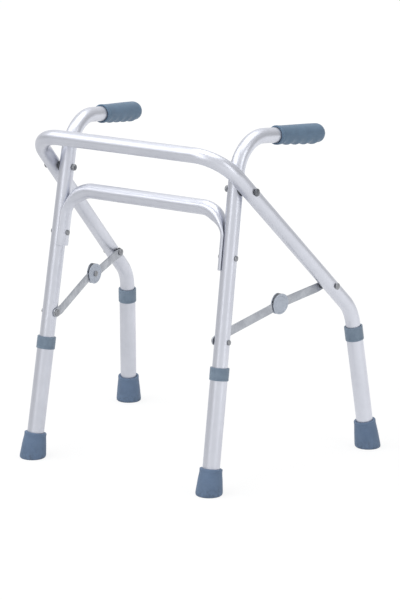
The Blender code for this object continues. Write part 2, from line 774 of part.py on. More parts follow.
def brace(side, steel, link_surface, drum_surface, plastic, fold_axis):
    """Both links of one side brace, with the drum and the hardware at three pivots."""
    name = side_name(side)
    front, centre, rear = brace_ends()
    out = Vector((side, 0.0, 0.0))
    front_axis = joint_axis("front_link_axis_" + name, front + out * FRONT_EYE_X)
    hinge_axis = joint_axis("hinge_axis_" + name, centre + out * REAR_HINGE_X, front_axis)
    link_bar("brace_front_link_" + name, side, (centre, front), (FRONT_HINGE_X, FRONT_EYE_X),
             (FRONT_LINK_WIDTH, 0.0), (FRONT_HINGE_FLAT, END_FLAT), link_surface, front_axis)
    link_bar("brace_rear_link_" + name, side, (centre, rear), (REAR_HINGE_X, REAR_EYE_X),
             (REAR_LINK_WIDTH, REAR_LINK_DROP), (REAR_HINGE_FLAT, END_FLAT), link_surface,
             hinge_axis)
    hinge_drum(side, drum_surface, hinge_axis)
    head_x = DRUM_INNER_X - FIT_GAP
    bolt = headed_shank(HINGE_HEAD_R, HINGE_HEAD_H, BRACE_SHANK_R, HINGE_STOP_X - head_x)
    place("hinge_bolt_" + name, bolt, steel,
          inward_matrix(centre + out * HINGE_STOP_X, side), hinge_axis)
    front_hardware(side, steel)
    rear_hardware(side, steel, plastic, fold_axis, hinge_axis)


def front_hardware(side, steel):
    """Bolt through the front leg and the link's eye, closed by a cap nut inside."""
    name = side_name(side)
    leg = point_at_height(FRONT_FOOT, LEG_TOP, FRONT_BRACE_Z)
    nut_x = FRONT_EYE_X - 0.5 * LINK_THICKNESS - FIT_GAP
    bore_depth = 0.6 * CAP_H
    shank_x = nut_x - bore_depth + FIT_GAP
    head_x = leg.x + tube_edge(lean(FRONT_FOOT, LEG_TOP), FRONT_HEAD_R)
    bolt = headed_shank(FRONT_HEAD_R, FRONT_HEAD_H, BRACE_SHANK_R, head_x - shank_x)
    nut = cap_nut(CAP_R, CAP_H, BRACE_SHANK_R + FIT_GAP, bore_depth)
    spot = Vector((side * shank_x, leg.y, leg.z))
    place("brace_front_bolt_" + name, bolt, steel, outward_matrix(spot, side))
    spot = Vector((side * nut_x, leg.y, leg.z))
    place("brace_front_nut_" + name, nut, steel, inward_matrix(spot, side))


def rear_hardware(side, steel, plastic, fold_axis, hinge_axis):
    """Bolt and spacer on the sloping arm, and the cap that fills the link's end eye."""
    name = side_name(side)
    arm = point_at_height(REAR_KNEE, REAR_CORNER, REAR_BRACE_Z)
    tube_lean = lean(REAR_KNEE, REAR_CORNER)
    eye_face = REAR_EYE_X + 0.5 * LINK_THICKNESS
    start = eye_face + FIT_GAP
    head_x = arm.x + tube_edge(tube_lean, REAR_HEAD_R)
    bolt = headed_shank(REAR_HEAD_R, REAR_HEAD_H, BRACE_SHANK_R, head_x - start)
    spacer_stop = arm.x - tube_edge(tube_lean, BRACE_SPACER_R)
    spacer = washer(BRACE_SPACER_R, BRACE_HOLE_R, spacer_stop - start)
    spot = Vector((side * start, arm.y, arm.z))
    place("brace_rear_bolt_" + name, bolt, steel, outward_matrix(spot, side), fold_axis)
    place("brace_rear_spacer_" + name, spacer, plastic, outward_matrix(spot, side), fold_axis)
    cap = headed_shank(CAP_R, CAP_H, BRACE_SHANK_R, LINK_THICKNESS + FIT_GAP)
    spot = Vector((side * eye_face, arm.y, arm.z))
    place("brace_rear_nut_" + name, cap, steel, inward_matrix(spot, side), hinge_axis)


def sleeve_mesh(top):
    """Height-adjusting sleeve with its row of stud holes, along Z of the leg frame."""
    outer = [(SLEEVE_R, SLEEVE_START), (SLEEVE_R, top)]
    inner = [(SLEEVE_BORE_R, top), (SLEEVE_BORE_R, SLEEVE_START)]
    return turned(outer + inner, TUBE_SIDES, closed=True)


def collar_mesh(top, height):
    """Plastic collar that closes the sleeve's top round the frame tube."""
    foot = top - height
    lip = top - COLLAR_LIP
    edge = 0.0012
    rim = SLEEVE_R + FIT_GAP
    profile = [(rim, foot), (COLLAR_R - edge, foot), (COLLAR_R, foot + edge),
               (COLLAR_R, top - edge), (COLLAR_R - edge, top), (SLEEVE_BORE_R, top),
               (SLEEVE_BORE_R, lip), (rim, lip)]
    return turned(profile, TUBE_SIDES, closed=True)


def rubber_tip(name, foot, above, height, surface, parent):
    """Moulded tip: level sole on the floor, sides that turn to follow the leaning leg."""
    up = (above - foot).normalized()
    level = Vector((0.0, 0.0, 1.0))
    rear = Vector((0.0, 1.0, 0.0))
    taper = (TIP_TOP_R - TIP_BASE_R) / (height - 0.0060)
    side_profile = ((0.0, TIP_BASE_R - 0.0024), (0.0012, TIP_BASE_R - 0.0008),
                    (0.0040, TIP_BASE_R), (0.0140, TIP_BASE_R + 0.0100 * taper),
                    (0.0250, TIP_BASE_R + 0.0210 * taper), (height - 0.0020, TIP_TOP_R),
                    (height - 0.0007, TIP_TOP_R - 0.0004), (height, TIP_TOP_R - 0.0014))
    rings = []
    for station, radius in side_profile:
        share = smooth_step(station / (0.6 * height))
        normal = level.lerp(up, share).normalized()
        rings.append(tip_ring(foot + up * station, normal, rear, radius))
    for station in (height, TIP_BORE_FLOOR):
        rings.append(tip_ring(foot + up * station, up, rear, TIP_BORE_R))
    recess = [tip_ring(foot + level * h, level, rear, TIP_SOLE_RECESS_R)
              for h in (TIP_SOLE_RECESS, 0.0)]
    bm = bmesh.new()
    loft(bm, recess + rings, capped=True)
    finish(name, bm, surface, foot, parent)


def tip_ring(centre, normal, rear, radius):
    """Ring of a rubber tip, square to a normal and aligned with the rear."""
    across = (rear - normal * rear.dot(normal)).normalized()
    return ring(centre, across, normal.cross(across), radius)


def clip_strip(path):
    """Bent spring strip: rectangular sections along (x, z) points of the leg frame."""
    half = CLIP_WIDTH / 2.0
    rings = []
    for (x, z), (nx, nz) in path:
        inner = (x - nx * CLIP_THICKNESS, z - nz * CLIP_THICKNESS)
        rings.append([Vector((x, -half, z)), Vector((x, half, z)),
                      Vector((inner[0], half, inner[1])), Vector((inner[0], -half, inner[1]))])
    bm = bmesh.new()
    loft(bm, rings, capped=True)
    return bm


def fixed_clip_mesh():
    """Back leaf and bottom bend of the spring clip, which stay in the tube."""
    low = STUD_HEIGHT - CLIP_LEAF_BELOW - FIT_GAP
    path = []
    for angle in range(0, 181, 20):
        direction = (cos(radians(angle)), -sin(radians(angle)))
        path.append(((CLIP_REACH * direction[0], low + CLIP_REACH * direction[1]), direction))
    path.append(((-CLIP_REACH, STUD_HEIGHT + CLIP_LEAF_ABOVE), (-1.0, 0.0)))
    return finished_mesh("snap_clip", clip_strip(path))


def stud_mesh():
    """Free leaf of the spring clip with its domed stud, as one piece."""
    low = STUD_HEIGHT - CLIP_LEAF_BELOW
    high = STUD_HEIGHT + CLIP_LEAF_ABOVE
    bm = bmesh.new()
    sides = 8
    middle = Vector((CLIP_REACH, 0.0, STUD_HEIGHT))
    corners = [(-CLIP_WIDTH / 2.0, low), (CLIP_WIDTH / 2.0, low),
               (CLIP_WIDTH / 2.0, high), (-CLIP_WIDTH / 2.0, high)]
    back = [bm.verts.new((CLIP_REACH - CLIP_THICKNESS, y, z)) for y, z in corners]
    front = [bm.verts.new((CLIP_REACH, y, z)) for y, z in corners]
    bm.faces.new(back)
    for i in range(4):
        j = (i + 1) % 4
        bm.faces.new((back[i], back[j], front[j], front[i]))
    steps = [(STUD_R, 0.0), (STUD_R, 0.0050), (0.8 * STUD_R, 0.0062), (0.35 * STUD_R, 0.0068)]
    rows = []
    for radius, reach in steps:
        angles = [2.0 * pi * (i + 0.5) / sides - 0.75 * pi - pi / sides for i in range(sides)]
        rows.append([bm.verts.new(middle + Vector((reach, cos(a) * radius, sin(a) * radius)))
                     for a in angles])
    for lower, upper in zip(rows, rows[1:]):
        for i in range(sides):
            j = (i + 1) % sides
            bm.faces.new((lower[i], lower[j], upper[j], upper[i]))
    bm.faces.new(rows[-1])
    for i in range(4):
        j = (i + 1) % 4
        first, second, third = (rows[0][(2 * i + k) % sides] for k in range(3))
        bm.faces.new((front[i], first, second))
        bm.faces.new((front[i], second, front[j]))
        bm.faces.new((second, third, front[j]))
    return finished_mesh("snap_stud", bm)


def adjustable_leg(name, foot, above, tip_height, meshes, surfaces, parent):
    """Sleeve, collar, tip, washer, clip and stud of one leg."""
    sleeve, collar, tip_washer, clip, stud = meshes
    frame = leg_matrix(foot, above)
    slide = joint_axis("leg_slide_" + name, foot, parent)
    body = place("leg_sleeve_" + name, sleeve, surfaces["aluminium"], frame, slide)
    rear = frame.to_3x3().col[0]
    up = frame.to_3x3().col[2]
    cutters = []
    for i in range(SETTINGS):
        height = STUD_HEIGHT + SETTING_PITCH * i
        cutters.append(drill(foot + up * height + rear * SLEEVE_R, rear, STUD_HOLE_R, SLEEVE_R))
    bore(body, cutters)
    place("leg_collar_" + name, collar, surfaces["plastic"], frame, slide)
    rubber_tip("rubber_tip_" + name, foot, above, tip_height, surfaces["rubber"], slide)
    place("tip_washer_" + name, tip_washer, surfaces["steel"],
          frame @ Matrix.Translation((0.0, 0.0, TIP_BORE_FLOOR + FIT_GAP)), slide)
    place("snap_clip_" + name, clip, surfaces["spring"], frame, parent)
    place("snap_stud_" + name, stud, surfaces["spring"], frame, parent)


def clear_scene():
    """Remove whatever the file held before."""
    for item in list(bpy.data.objects):
        bpy.data.objects.remove(item, do_unlink=True)


def finishes():
    """The walker's materials."""
    return {
        "aluminium": material("satin_aluminium", (0.74, 0.75, 0.78), 0.32, 0.9),
        "link": material("grey_link", (0.36, 0.38, 0.40), 0.45, 0.6),
        "drum": material("grey_drum", (0.42, 0.45, 0.49), 0.50, 0.2),
        "steel": material("dark_steel", (0.14, 0.15, 0.16), 0.40, 0.7),
        "spring": material("spring_steel", (0.45, 0.45, 0.46), 0.35, 0.9),
        "plastic": material("slate_plastic", (0.13, 0.18, 0.24), 0.45, 0.0),
        "rubber": material("slate_rubber", (0.12, 0.17, 0.23), 0.65, 0.0),
    }


def build():
    """Make every piece of the walker."""
    clear_scene()
    surfaces = finishes()
    pivot_y, pivot_z = fold_pivot()
    pivot = Vector((0.0, pivot_y, pivot_z))
    fold_axis = joint_axis("fold_axis", pivot)
    rear_frame(surfaces["aluminium"], fold_axis, pivot)
    lower_crossbar(surfaces["aluminium"])
    crossbar_rivets(surfaces["steel"])
    pivot_hardware(surfaces["steel"], surfaces["plastic"])
    for side in SIDES.values():
        frame = front_leg(side, surfaces["aluminium"])
        hand_grip(side, frame, surfaces["rubber"])
        brace(side, surfaces["steel"], surfaces["link"], surfaces["drum"],
              surfaces["plastic"], fold_axis)
    tip_washer = washer(TIP_WASHER_R, 0.004, TIP_WASHER_THICKNESS)
    clip = fixed_clip_mesh()
    stud = stud_mesh()
    ends = (("front", FRONT_FOOT, LEG_TOP, FRONT_SLEEVE_TOP, FRONT_COLLAR_HEIGHT,
             FRONT_TIP_HEIGHT, None),
            ("rear", REAR_FOOT, REAR_KNEE, REAR_SLEEVE_TOP, REAR_COLLAR_HEIGHT,
             REAR_TIP_HEIGHT, fold_axis))
    for end, foot, above, top, collar_height, tip_height, parent in ends:
        meshes = (sleeve_mesh(top - COLLAR_LIP - FIT_GAP), collar_mesh(top, collar_height),
                  tip_washer, clip, stud)
        for name, side in SIDES.items():
            adjustable_leg(end + "_" + name, mirrored(foot, side), mirrored(above, side),
                           tip_height, meshes, surfaces, parent)


build()
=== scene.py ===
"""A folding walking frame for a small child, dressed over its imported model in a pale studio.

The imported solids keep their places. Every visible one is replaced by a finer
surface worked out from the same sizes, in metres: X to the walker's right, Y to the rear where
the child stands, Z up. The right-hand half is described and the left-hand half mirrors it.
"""

from __future__ import annotations

import logging
from dataclasses import dataclass, field
from enum import Enum
from itertools import product
from math import cos, pi, radians, sin, sqrt, tan

import bmesh
import bpy
import numpy as np
from mathutils import Matrix, Vector
from numpy.typing import NDArray

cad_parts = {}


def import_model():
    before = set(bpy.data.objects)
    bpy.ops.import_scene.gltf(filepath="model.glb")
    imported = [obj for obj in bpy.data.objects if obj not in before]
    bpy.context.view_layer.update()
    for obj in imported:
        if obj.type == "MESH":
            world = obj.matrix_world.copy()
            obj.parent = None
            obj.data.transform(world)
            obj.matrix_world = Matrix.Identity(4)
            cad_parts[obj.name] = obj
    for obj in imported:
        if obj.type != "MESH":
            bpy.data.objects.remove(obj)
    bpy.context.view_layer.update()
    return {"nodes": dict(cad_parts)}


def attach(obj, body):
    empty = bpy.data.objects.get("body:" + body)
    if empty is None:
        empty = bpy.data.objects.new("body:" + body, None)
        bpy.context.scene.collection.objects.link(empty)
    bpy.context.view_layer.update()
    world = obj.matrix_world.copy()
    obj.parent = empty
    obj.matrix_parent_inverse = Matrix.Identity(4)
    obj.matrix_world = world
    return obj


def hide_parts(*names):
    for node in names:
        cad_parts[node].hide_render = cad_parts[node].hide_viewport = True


log = logging.getLogger("walker")

Array = NDArray[np.float64]
Indices = NDArray[np.int64]
Pair = tuple[float, float]
Triple = tuple[float, float, float]
Colour = Triple
Profile = list[Pair]
Socket = bpy.types.NodeSocket

X_AXIS: Array = np.array([1.0, 0.0, 0.0])
Y_AXIS: Array = np.array([0.0, 1.0, 0.0])
Z_AXIS: Array = np.array([0.0, 0.0, 1.0])
FIT_GAP = 0.0003
MERGE_DISTANCE = 1e-6
SOFT_CREASE = 50.0
HEAD_EDGE = 0.0002


# Vectors, easing and profiles

def unit(vector: Array) -> Array:
    """The vector at length 1."""
    return vector / np.linalg.norm(vector)


def ease(value: Array | float) -> Array:
    """Smooth step from 0 to 1 with level ends: v squared times (3 minus 2 v)."""
    held = np.clip(value, 0.0, 1.0)
    return held * held * (3.0 - 2.0 * held)


def across(axis: Array, guide: Array) -> Array:
    """Unit vector square to an axis, as near to the guide as it can be."""
    return unit(guide - axis * (guide @ axis))


def round_angles(count: int) -> Array:
    """Equal angles once round."""
    return np.arange(count) * 2.0 * pi / count


def rounded(corners: Profile, radius: float, steps: int = 4) -> Array:
    """Rounds the inner corners of a profile.

    Each corner becomes a short quadratic curve. It starts and ends at a distance of the radius
    from the corner, or at 0.45 of the shorter side next to it.

    Args:
        corners: The profile's corners as (radius, height).
        radius: How far from each corner the rounding starts.
        steps: Straight pieces in each rounded corner.

    Returns:
        The rounded profile's points, one row each.
    """
    points = np.array(corners, dtype=np.float64)
    made = [points[:1]]
    t = np.linspace(0.0, 1.0, steps + 1)[:, None]
    for before, corner, after in zip(points, points[1:], points[2:]):
        into, out = corner - before, after - corner
        lengths = np.linalg.norm(into), np.linalg.norm(out)
        reach = min(radius, 0.45 * lengths[0], 0.45 * lengths[1])
        start = corner - into / lengths[0] * reach
        stop = corner + out / lengths[1] * reach
        made.append((1 - t) ** 2 * start + 2 * t * (1 - t) * corner + t ** 2 * stop)
    return np.concatenate(made + [points[-1:]])


def dome(radius: float, height: float, base: float = 0.0, steps: int = 10) -> Profile:
    """A low dome's profile from its rim to the axis.

    The radius falls with the cosine of an angle from 0 to 90 degrees. The height starts at 0.35
    of the whole, on a short upright side, and grows with the sine.

    Args:
        radius: Radius of the rim.
        height: Height of the dome.
        base: Height of the rim.
        steps: Straight pieces from rim to axis.

    Returns:
        Points as (radius, height).
    """
    angles = np.linspace(0.0, pi / 2.0, steps + 1)
    heights = base + height * (0.35 + 0.65 * np.sin(angles))
    return list(zip((radius * np.cos(angles)).tolist(), heights.tolist()))


def headed(shank_r: float, head: Pair, length: float, steps: int = 12) -> Profile:
    """Profile of a shank from 0 to its length with a domed head above it.

    Args:
        shank_r: Radius of the shank.
        head: Radius and height of the head.
        length: Length of the shank.
        steps: Straight pieces of the head.

    Returns:
        Points as (radius, height).
    """
    radius, height = head
    return ([(0.0, 0.0), (shank_r, 0.0), (shank_r, length), (radius - HEAD_EDGE, length),
             (radius, length + HEAD_EDGE)] + dome(radius, height, length, steps))


@dataclass(frozen=True)
class Pose:
    """A place with three directions, on which a turned piece or a leg stands."""

    origin: Array
    x: Array
    y: Array
    z: Array

    @classmethod
    def on_axis(cls, origin: Array, axis: Array, guide: Array = Z_AXIS) -> "Pose":
        """A pose whose Z is the axis and whose X lies near the guide."""
        z = unit(axis)
        x = across(z, guide)
        return cls(origin, x, np.cross(z, x), z)

    def place(self, local: Array) -> Array:
        """Points given in this pose's own directions, in the walker's frame."""
        return (self.origin + local[..., :1] * self.x + local[..., 1:2] * self.y
                + local[..., 2:] * self.z)

    def turn(self, radius: Array | float, angle: Array, height: Array) -> Array:
        """Points at radius r, angle a and height h: x is r cos a, y is r sin a and z is h."""
        return self.place(np.stack(np.broadcast_arrays(
            radius * np.cos(angle), radius * np.sin(angle), height + 0.0 * angle), axis=-1))

    def on_z(self, height: float) -> Array:
        """The point of this pose's Z axis at a height."""
        return self.place(np.array([0.0, 0.0, height]))


class Side(Enum):
    """The walker's two sides, with the sign of X on each."""

    RIGHT = 1.0
    LEFT = -1.0

    @property
    def tag(self) -> str:
        """End of the names of this side's pieces."""
        return "_" + self.name.lower()

    @property
    def out(self) -> Array:
        """Unit vector that points away from the walker's middle."""
        return X_AXIS * self.value

    def mirror(self, point: Array) -> Array:
        """The right-hand point, moved to this side."""
        return point * np.array([self.value, 1.0, 1.0])

    def level_pose(self, x: float, point: Array, way: float = 1.0) -> Pose:
        """A pose at an X beside a right-hand point, with Z outwards, or inwards at way -1."""
        return Pose.on_axis(self.mirror(np.array([x, point[1], point[2]])), self.out * way)


class LegEnd(Enum):
    """Front and rear legs."""

    FRONT = "front"
    REAR = "rear"


@dataclass(frozen=True)
class TubePath:
    """A bent tube's centre line: places, directions, frames and how strongly each part bends."""

    points: Array
    tangents: Array
    first: Array
    second: Array
    inward: Array
    bending: Array

    @classmethod
    def bent(cls, corners: list[Array], radii: list[float], guide: Array,
             step: float = radians(3.0)) -> "TubePath":
        """Rounds the corners of a line into circular bends.

        A bend of radius r that turns by angle a starts r tan(a / 2) before its corner. Its
        points turn about the bend's centre, and the section's frame is carried along by taking
        out of its first direction whatever lies along the new tangent.

        Args:
            corners: Ends and corners of the line.
            radii: Bend radius at each inner corner.
            guide: Rough direction of the section's first axis at the start.
            step: Largest turn between two points of a bend.

        Returns:
            The path.
        """
        still = (np.zeros((1, 3)), np.zeros(1))
        blocks = [(corners[0][None], unit(corners[1] - corners[0])[None], *still)]
        for before, corner, after, radius in zip(corners, corners[1:], corners[2:], radii):
            into, out = unit(corner - before), unit(after - corner)
            turn = np.arccos(into @ out)
            toward = unit(out - into * (into @ out))
            start = corner - into * radius * tan(turn / 2.0)
            a = np.linspace(0.0, turn, max(8, round(turn / step)) + 1)[:, None]
            share = a[:, 0] / turn
            blocks.append((start + into * radius * np.sin(a) + toward * radius * (1 - np.cos(a)),
                           into * np.cos(a) + toward * np.sin(a),
                           toward * np.cos(a) - into * np.sin(a),
                           ease(4.0 * share) * ease(4.0 * (1.0 - share))))
        blocks.append((corners[-1][None], unit(corners[-1] - corners[-2])[None], *still))
        points, tangents, inward, bending = (np.concatenate(part) for part in zip(*blocks))
        first = np.empty_like(tangents)
        for i, tangent in enumerate(tangents):
            guide = across(tangent, guide)
            first[i] = guide
        return cls(points, tangents, first, np.cross(tangents, first), inward, bending)


# Meshes

@dataclass
class Shell:
    """Collects sheets of points and makes them one closed mesh with a UV map in metres.

    A block of faces may be marked for painted shade, which its finish paints in a dark colour.
    """

    points: list[Array] = field(default_factory=list)
    faces: list[Indices] = field(default_factory=list)
    corners: list[Array] = field(default_factory=list)
    painted_shade: list[float] = field(default_factory=list)
    count: int = 0

    def add_points(self, points: Array) -> Indices:
        """Keeps some points.

        Args:
            points: The points, in any layout.

        Returns:
            Their numbers in the same layout.
        """
        numbers = np.arange(points.size // 3).reshape(points.shape[:-1]) + self.count
        self.points.append(points.reshape(-1, 3))
        self.count += points.size // 3
        return numbers

    def add_faces(self, faces: Indices, uv: Array) -> None:
        """Keeps some faces of equal size with the UV places of their corners."""
        self.faces.append(faces)
        self.corners.append(uv)

    @staticmethod
    def _cells(grid: NDArray) -> NDArray:
        """The four corners of every cell of a grid, in order round the cell."""
        corners = [grid[:-1, :-1], grid[:-1, 1:], grid[1:, 1:], grid[1:, :-1]]
        stacked = np.stack(corners, axis=2)
        return stacked.reshape(-1, *stacked.shape[2:])

    def sheet(self, grid: Array, keep: NDArray[np.bool_] | None = None) -> Indices:
        """Adds a grid of points whose last column meets the first. Each cell becomes a face.

        The UV map is the distance in metres round and along the grid, averaged over its rows
        and columns.

        Args:
            grid: Points by row, column and coordinate.
            keep: Which cells become faces, by row and column, or all of them.

        Returns:
            The points' numbers by row and column.
        """
        index = self.add_points(grid)
        closed = np.concatenate([grid, grid[:, :1]], axis=1)
        round_steps = np.linalg.norm(np.diff(closed, axis=1), axis=2).mean(axis=0)
        long_steps = np.linalg.norm(np.diff(closed, axis=0), axis=2).mean(axis=1)
        u, v = np.meshgrid(np.concatenate([[0.0], np.cumsum(round_steps)]),
                           np.concatenate([[0.0], np.cumsum(long_steps)]))
        chosen = slice(None) if keep is None else keep.ravel()
        self.add_faces(self._cells(np.concatenate([index, index[:, :1]], axis=1))[chosen],
                       self._cells(np.stack([u, v], axis=-1))[chosen])
        return index

    def fan(self, rim: Indices, rim_points: Array, centre: Array) -> None:
        """Closes a round rim with triangles to a centre point, with a flat UV round it.

        Args:
            rim: Numbers of the rim's points.
            rim_points: The rim's points.
            centre: The point that every triangle shares.
        """
        middle = int(self.add_points(centre[None])[0])
        reach = np.linalg.norm(rim_points - centre, axis=1)
        angle = np.linspace(0.0, 2.0 * pi, len(rim) + 1)[:-1]
        flat = np.stack([np.cos(angle) * reach, np.sin(angle) * reach], axis=1)
        self.add_faces(np.stack([rim, np.roll(rim, -1), np.full_like(rim, middle)], axis=1),
                       np.stack([flat, np.roll(flat, -1, axis=0), np.zeros_like(flat)], axis=1))

    def capped(self, grid: Array, low: Array | None = None, high: Array | None = None) -> "Shell":
        """Adds a sheet with a fan over each end that is given a centre.

        Args:
            grid: Points by row, column and coordinate.
            low: Centre of the first row's fan.
            high: Centre of the last row's fan.

        Returns:
            This shell.
        """
        index = self.sheet(grid)
        for row, centre in ((0, low), (-1, high)):
            if centre is not None:
                self.fan(index[row], grid[row], centre)
        return self

    def flat_ended(self, grid: Array, turn: int = 0) -> "Shell":
        """Adds a sheet whose end rims are closed by joining each point to the one across.

        Args:
            grid: Points by row, column and coordinate.
            turn: Columns by which a rim is turned before its halves are joined.

        Returns:
            This shell.
        """
        index = self.sheet(grid)
        for row in (0, -1):
            rim, flat = np.roll(index[row], turn), np.roll(grid[row], turn, axis=0)[:, :2]
            half = len(rim) // 2
            quads = []
            for line in (rim, flat):
                near, far = line[:half], line[::-1][:half]
                quads.append(np.stack([near[:-1], near[1:], far[1:], far[:-1]], axis=1))
            self.add_faces(*quads)
        return self

    def ring(self, grid: Array) -> "Shell":
        """Adds a sheet whose last row meets the first."""
        self.sheet(np.concatenate([grid, grid[:1]]))
        return self

    def turned(self, profile: Array | Profile, pose: Pose, sides: int = 40) -> "Shell":
        """Spins a profile about a pose's Z.

        Where the profile starts or ends on the axis, a fan closes it there. Otherwise its ends
        meet, as those of a ring do.

        Args:
            profile: Points as (radius, height), from one end to the other.
            pose: Where the piece stands.
            sides: Faces round it.

        Returns:
            This shell.
        """
        rows = np.array(profile, dtype=np.float64)
        starts, stops = rows[0, 0] < MERGE_DISTANCE, rows[-1, 0] < MERGE_DISTANCE
        low, high = pose.on_z(rows[0, 1]), pose.on_z(rows[-1, 1])
        rows = rows[int(starts):len(rows) - int(stops)]
        grid = pose.turn(rows[:, :1], round_angles(sides), rows[:, 1:])
        if not (starts or stops):
            return self.ring(grid)
        return self.capped(grid, low if starts else None, high if stops else None)

    def make(self, name: str, crease: float = 38.0) -> bpy.types.Object:
        """Makes the object, its seams merged, its faces outwards and its creases sharp.

        Args:
            name: Name of the object and its mesh.
            crease: Edges that turn by more than this many degrees stay sharp.

        Returns:
            The new object, at the origin.
        """
        mesh = bpy.data.meshes.new(name)
        sizes = np.concatenate([np.full(len(block), block.shape[1]) for block in self.faces])
        loops = np.concatenate([block.ravel() for block in self.faces])
        mesh.vertices.add(self.count)
        mesh.loops.add(len(loops))
        mesh.polygons.add(len(sizes))
        mesh.vertices.foreach_set("co", np.concatenate(self.points).ravel())
        mesh.loops.foreach_set("vertex_index", loops.astype(np.int32))
        mesh.polygons.foreach_set("loop_start", (np.cumsum(sizes) - sizes).astype(np.int32))
        mesh.update(calc_edges=True)
        uv = np.concatenate([block.reshape(-1, 2) for block in self.corners])
        mesh.uv_layers.new(name="UVMap").data.foreach_set("uv", uv.ravel())
        # Marked faces carry a face attribute from which the finish paints shade.
        if self.painted_shade:
            shares = np.repeat(np.array(self.painted_shade), [len(block) for block in self.faces])
            mask = mesh.attributes.new("painted_shade", "FLOAT", "FACE")
            mask.data.foreach_set("value", shares.astype(np.float32))
        bm = bmesh.new()
        bm.from_mesh(mesh)
        bmesh.ops.remove_doubles(bm, verts=bm.verts, dist=MERGE_DISTANCE)
        bmesh.ops.dissolve_degenerate(bm, edges=bm.edges, dist=MERGE_DISTANCE)
        bmesh.ops.recalc_face_normals(bm, faces=bm.faces)
        bm.to_mesh(mesh)
        bm.free()
        mesh.shade_smooth()
        mesh.set_sharp_from_angle(angle=radians(crease))
        made = bpy.data.objects.new(name, mesh)
        bpy.context.scene.collection.objects.link(made)
        return made


def sweep(path: TubePath, sides: int = 56, flattening: float = 0.018) -> Shell:
    """Carries the frame tube's circle along a path and rolls both of its ends inwards.

    A point of the section is the centre plus r cos a times the first direction plus r sin a
    times the second. In a bend the part that points at the bend's centre is shortened a
    little, because drawn tube flattens there.

    Args:
        path: The centre line.
        sides: Faces round the tube.
        flattening: Share taken off across a bend.

    Returns:
        The tube's surface.
    """
    radius, edge, depth = LAYOUT.tube_r, 0.0004, 0.012
    inner = radius - LAYOUT.tube_wall
    start = [(depth, inner), (0.0, inner), (0.0, radius - edge), (edge, radius)]
    stop = [(-shift, r) for shift, r in reversed(start)]
    middle = len(path.points) - 2
    rows = [0] * len(start) + list(range(1, middle + 1)) + [-1] * len(stop)
    shifts, radii = np.array(start + [(0.0, radius)] * middle + stop).T
    centre = path.points[rows] + path.tangents[rows] * shifts[:, None]
    a = round_angles(sides)[None, :, None]
    offset = (path.first[rows][:, None] * np.cos(a)
              + path.second[rows][:, None] * np.sin(a)) * radii[:, None, None]
    inward = path.inward[rows][:, None]
    share = (offset * inward).sum(axis=2, keepdims=True)
    offset = offset - inward * share * (flattening * path.bending[rows])[:, None, None]
    return Shell().capped(centre[:, None] + offset, centre[0], centre[-1])


# The walker's layout

def spot_at(*place: float) -> Array:
    """A dataclass field that holds a place."""
    return field(default_factory=lambda: np.array(place))


@dataclass(frozen=True)
class Layout:
    """Centre lines of the right-hand half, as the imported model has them."""

    front_foot: Array = spot_at(0.1810, -0.1904, 0.0)
    leg_top: Array = spot_at(0.1681, -0.0876, 0.5735)
    rear_corner: Array = spot_at(0.1872, -0.1702, 0.5523)
    rear_knee: Array = spot_at(0.2347, 0.1591, 0.2468)
    rear_foot: Array = spot_at(0.2542, 0.1904, 0.0)
    handle_splay: float = radians(5.6)
    handle_drop: float = radians(5.95)
    tube_r: float = 0.0127
    tube_wall: float = 0.0015
    tube_start: float = 0.0580
    grip_start: float = 0.0930
    grip_length: float = 0.1240
    handle_end_in_grip: float = 0.0140

    @property
    def leg(self) -> tuple[Array, Array]:
        """Lower and upper end of the right front leg's centre line."""
        return self.front_foot, self.leg_top

    @property
    def arm(self) -> tuple[Array, Array]:
        """Lower and upper end of the right sloping arm's centre line."""
        return self.rear_knee, self.rear_corner

    @staticmethod
    def at_height(line: tuple[Array, Array], height: float) -> Array:
        """Where a line passes a height above the floor."""
        bottom, top = line
        return bottom + (top - bottom) * (height - bottom[2]) / (top[2] - bottom[2])

    def pivots(self) -> tuple[Array, Array]:
        """Where the fold's axis passes right leg and arm, which cross there in the side view.

        Returns:
            The point on the leg and the point on the arm.
        """
        (foot, top), (knee, corner) = self.leg, self.arm
        leg = (top - foot)[1] / (top - foot)[2]
        arm = (knee - corner)[1] / (knee - corner)[2]
        height = float((corner[1] - arm * corner[2] - foot[1]) / (leg - arm))
        return self.at_height(self.leg, height), self.at_height(self.arm, height)

    @property
    def handle_way(self) -> Array:
        """Unit vector from the leg's top along the right handle."""
        level = cos(self.handle_drop)
        return np.array([sin(self.handle_splay) * level, cos(self.handle_splay) * level,
                         -sin(self.handle_drop)])

    def handle_point(self, distance: float) -> Array:
        """Point on the right handle's centre line."""
        return self.leg_top + self.handle_way * distance

    def leg_line(self, end: LegEnd, side: Side) -> tuple[Array, Array]:
        """Foot and next point above it of one of the four legs."""
        line = self.leg if end is LegEnd.FRONT else (self.rear_foot, self.rear_knee)
        return side.mirror(line[0]), side.mirror(line[1])

    def leg_pose(self, end: LegEnd, side: Side) -> Pose:
        """A leg's pose: origin on the floor, Z up the tube and X to the rear."""
        foot, above = self.leg_line(end, side)
        return Pose.on_axis(foot, above - foot, Y_AXIS)

    def seat(self, line: tuple[Array, Array], radius: float) -> float:
        """Distance in X from a leaning tube's centre line to a flat face of this radius."""
        way = line[1] - line[0]
        lean = abs(way[0]) / sqrt(way[1] ** 2 + way[2] ** 2)
        return self.tube_r * sqrt(1.0 + lean ** 2) + lean * radius + FIT_GAP


LAYOUT = Layout()


# Finishes

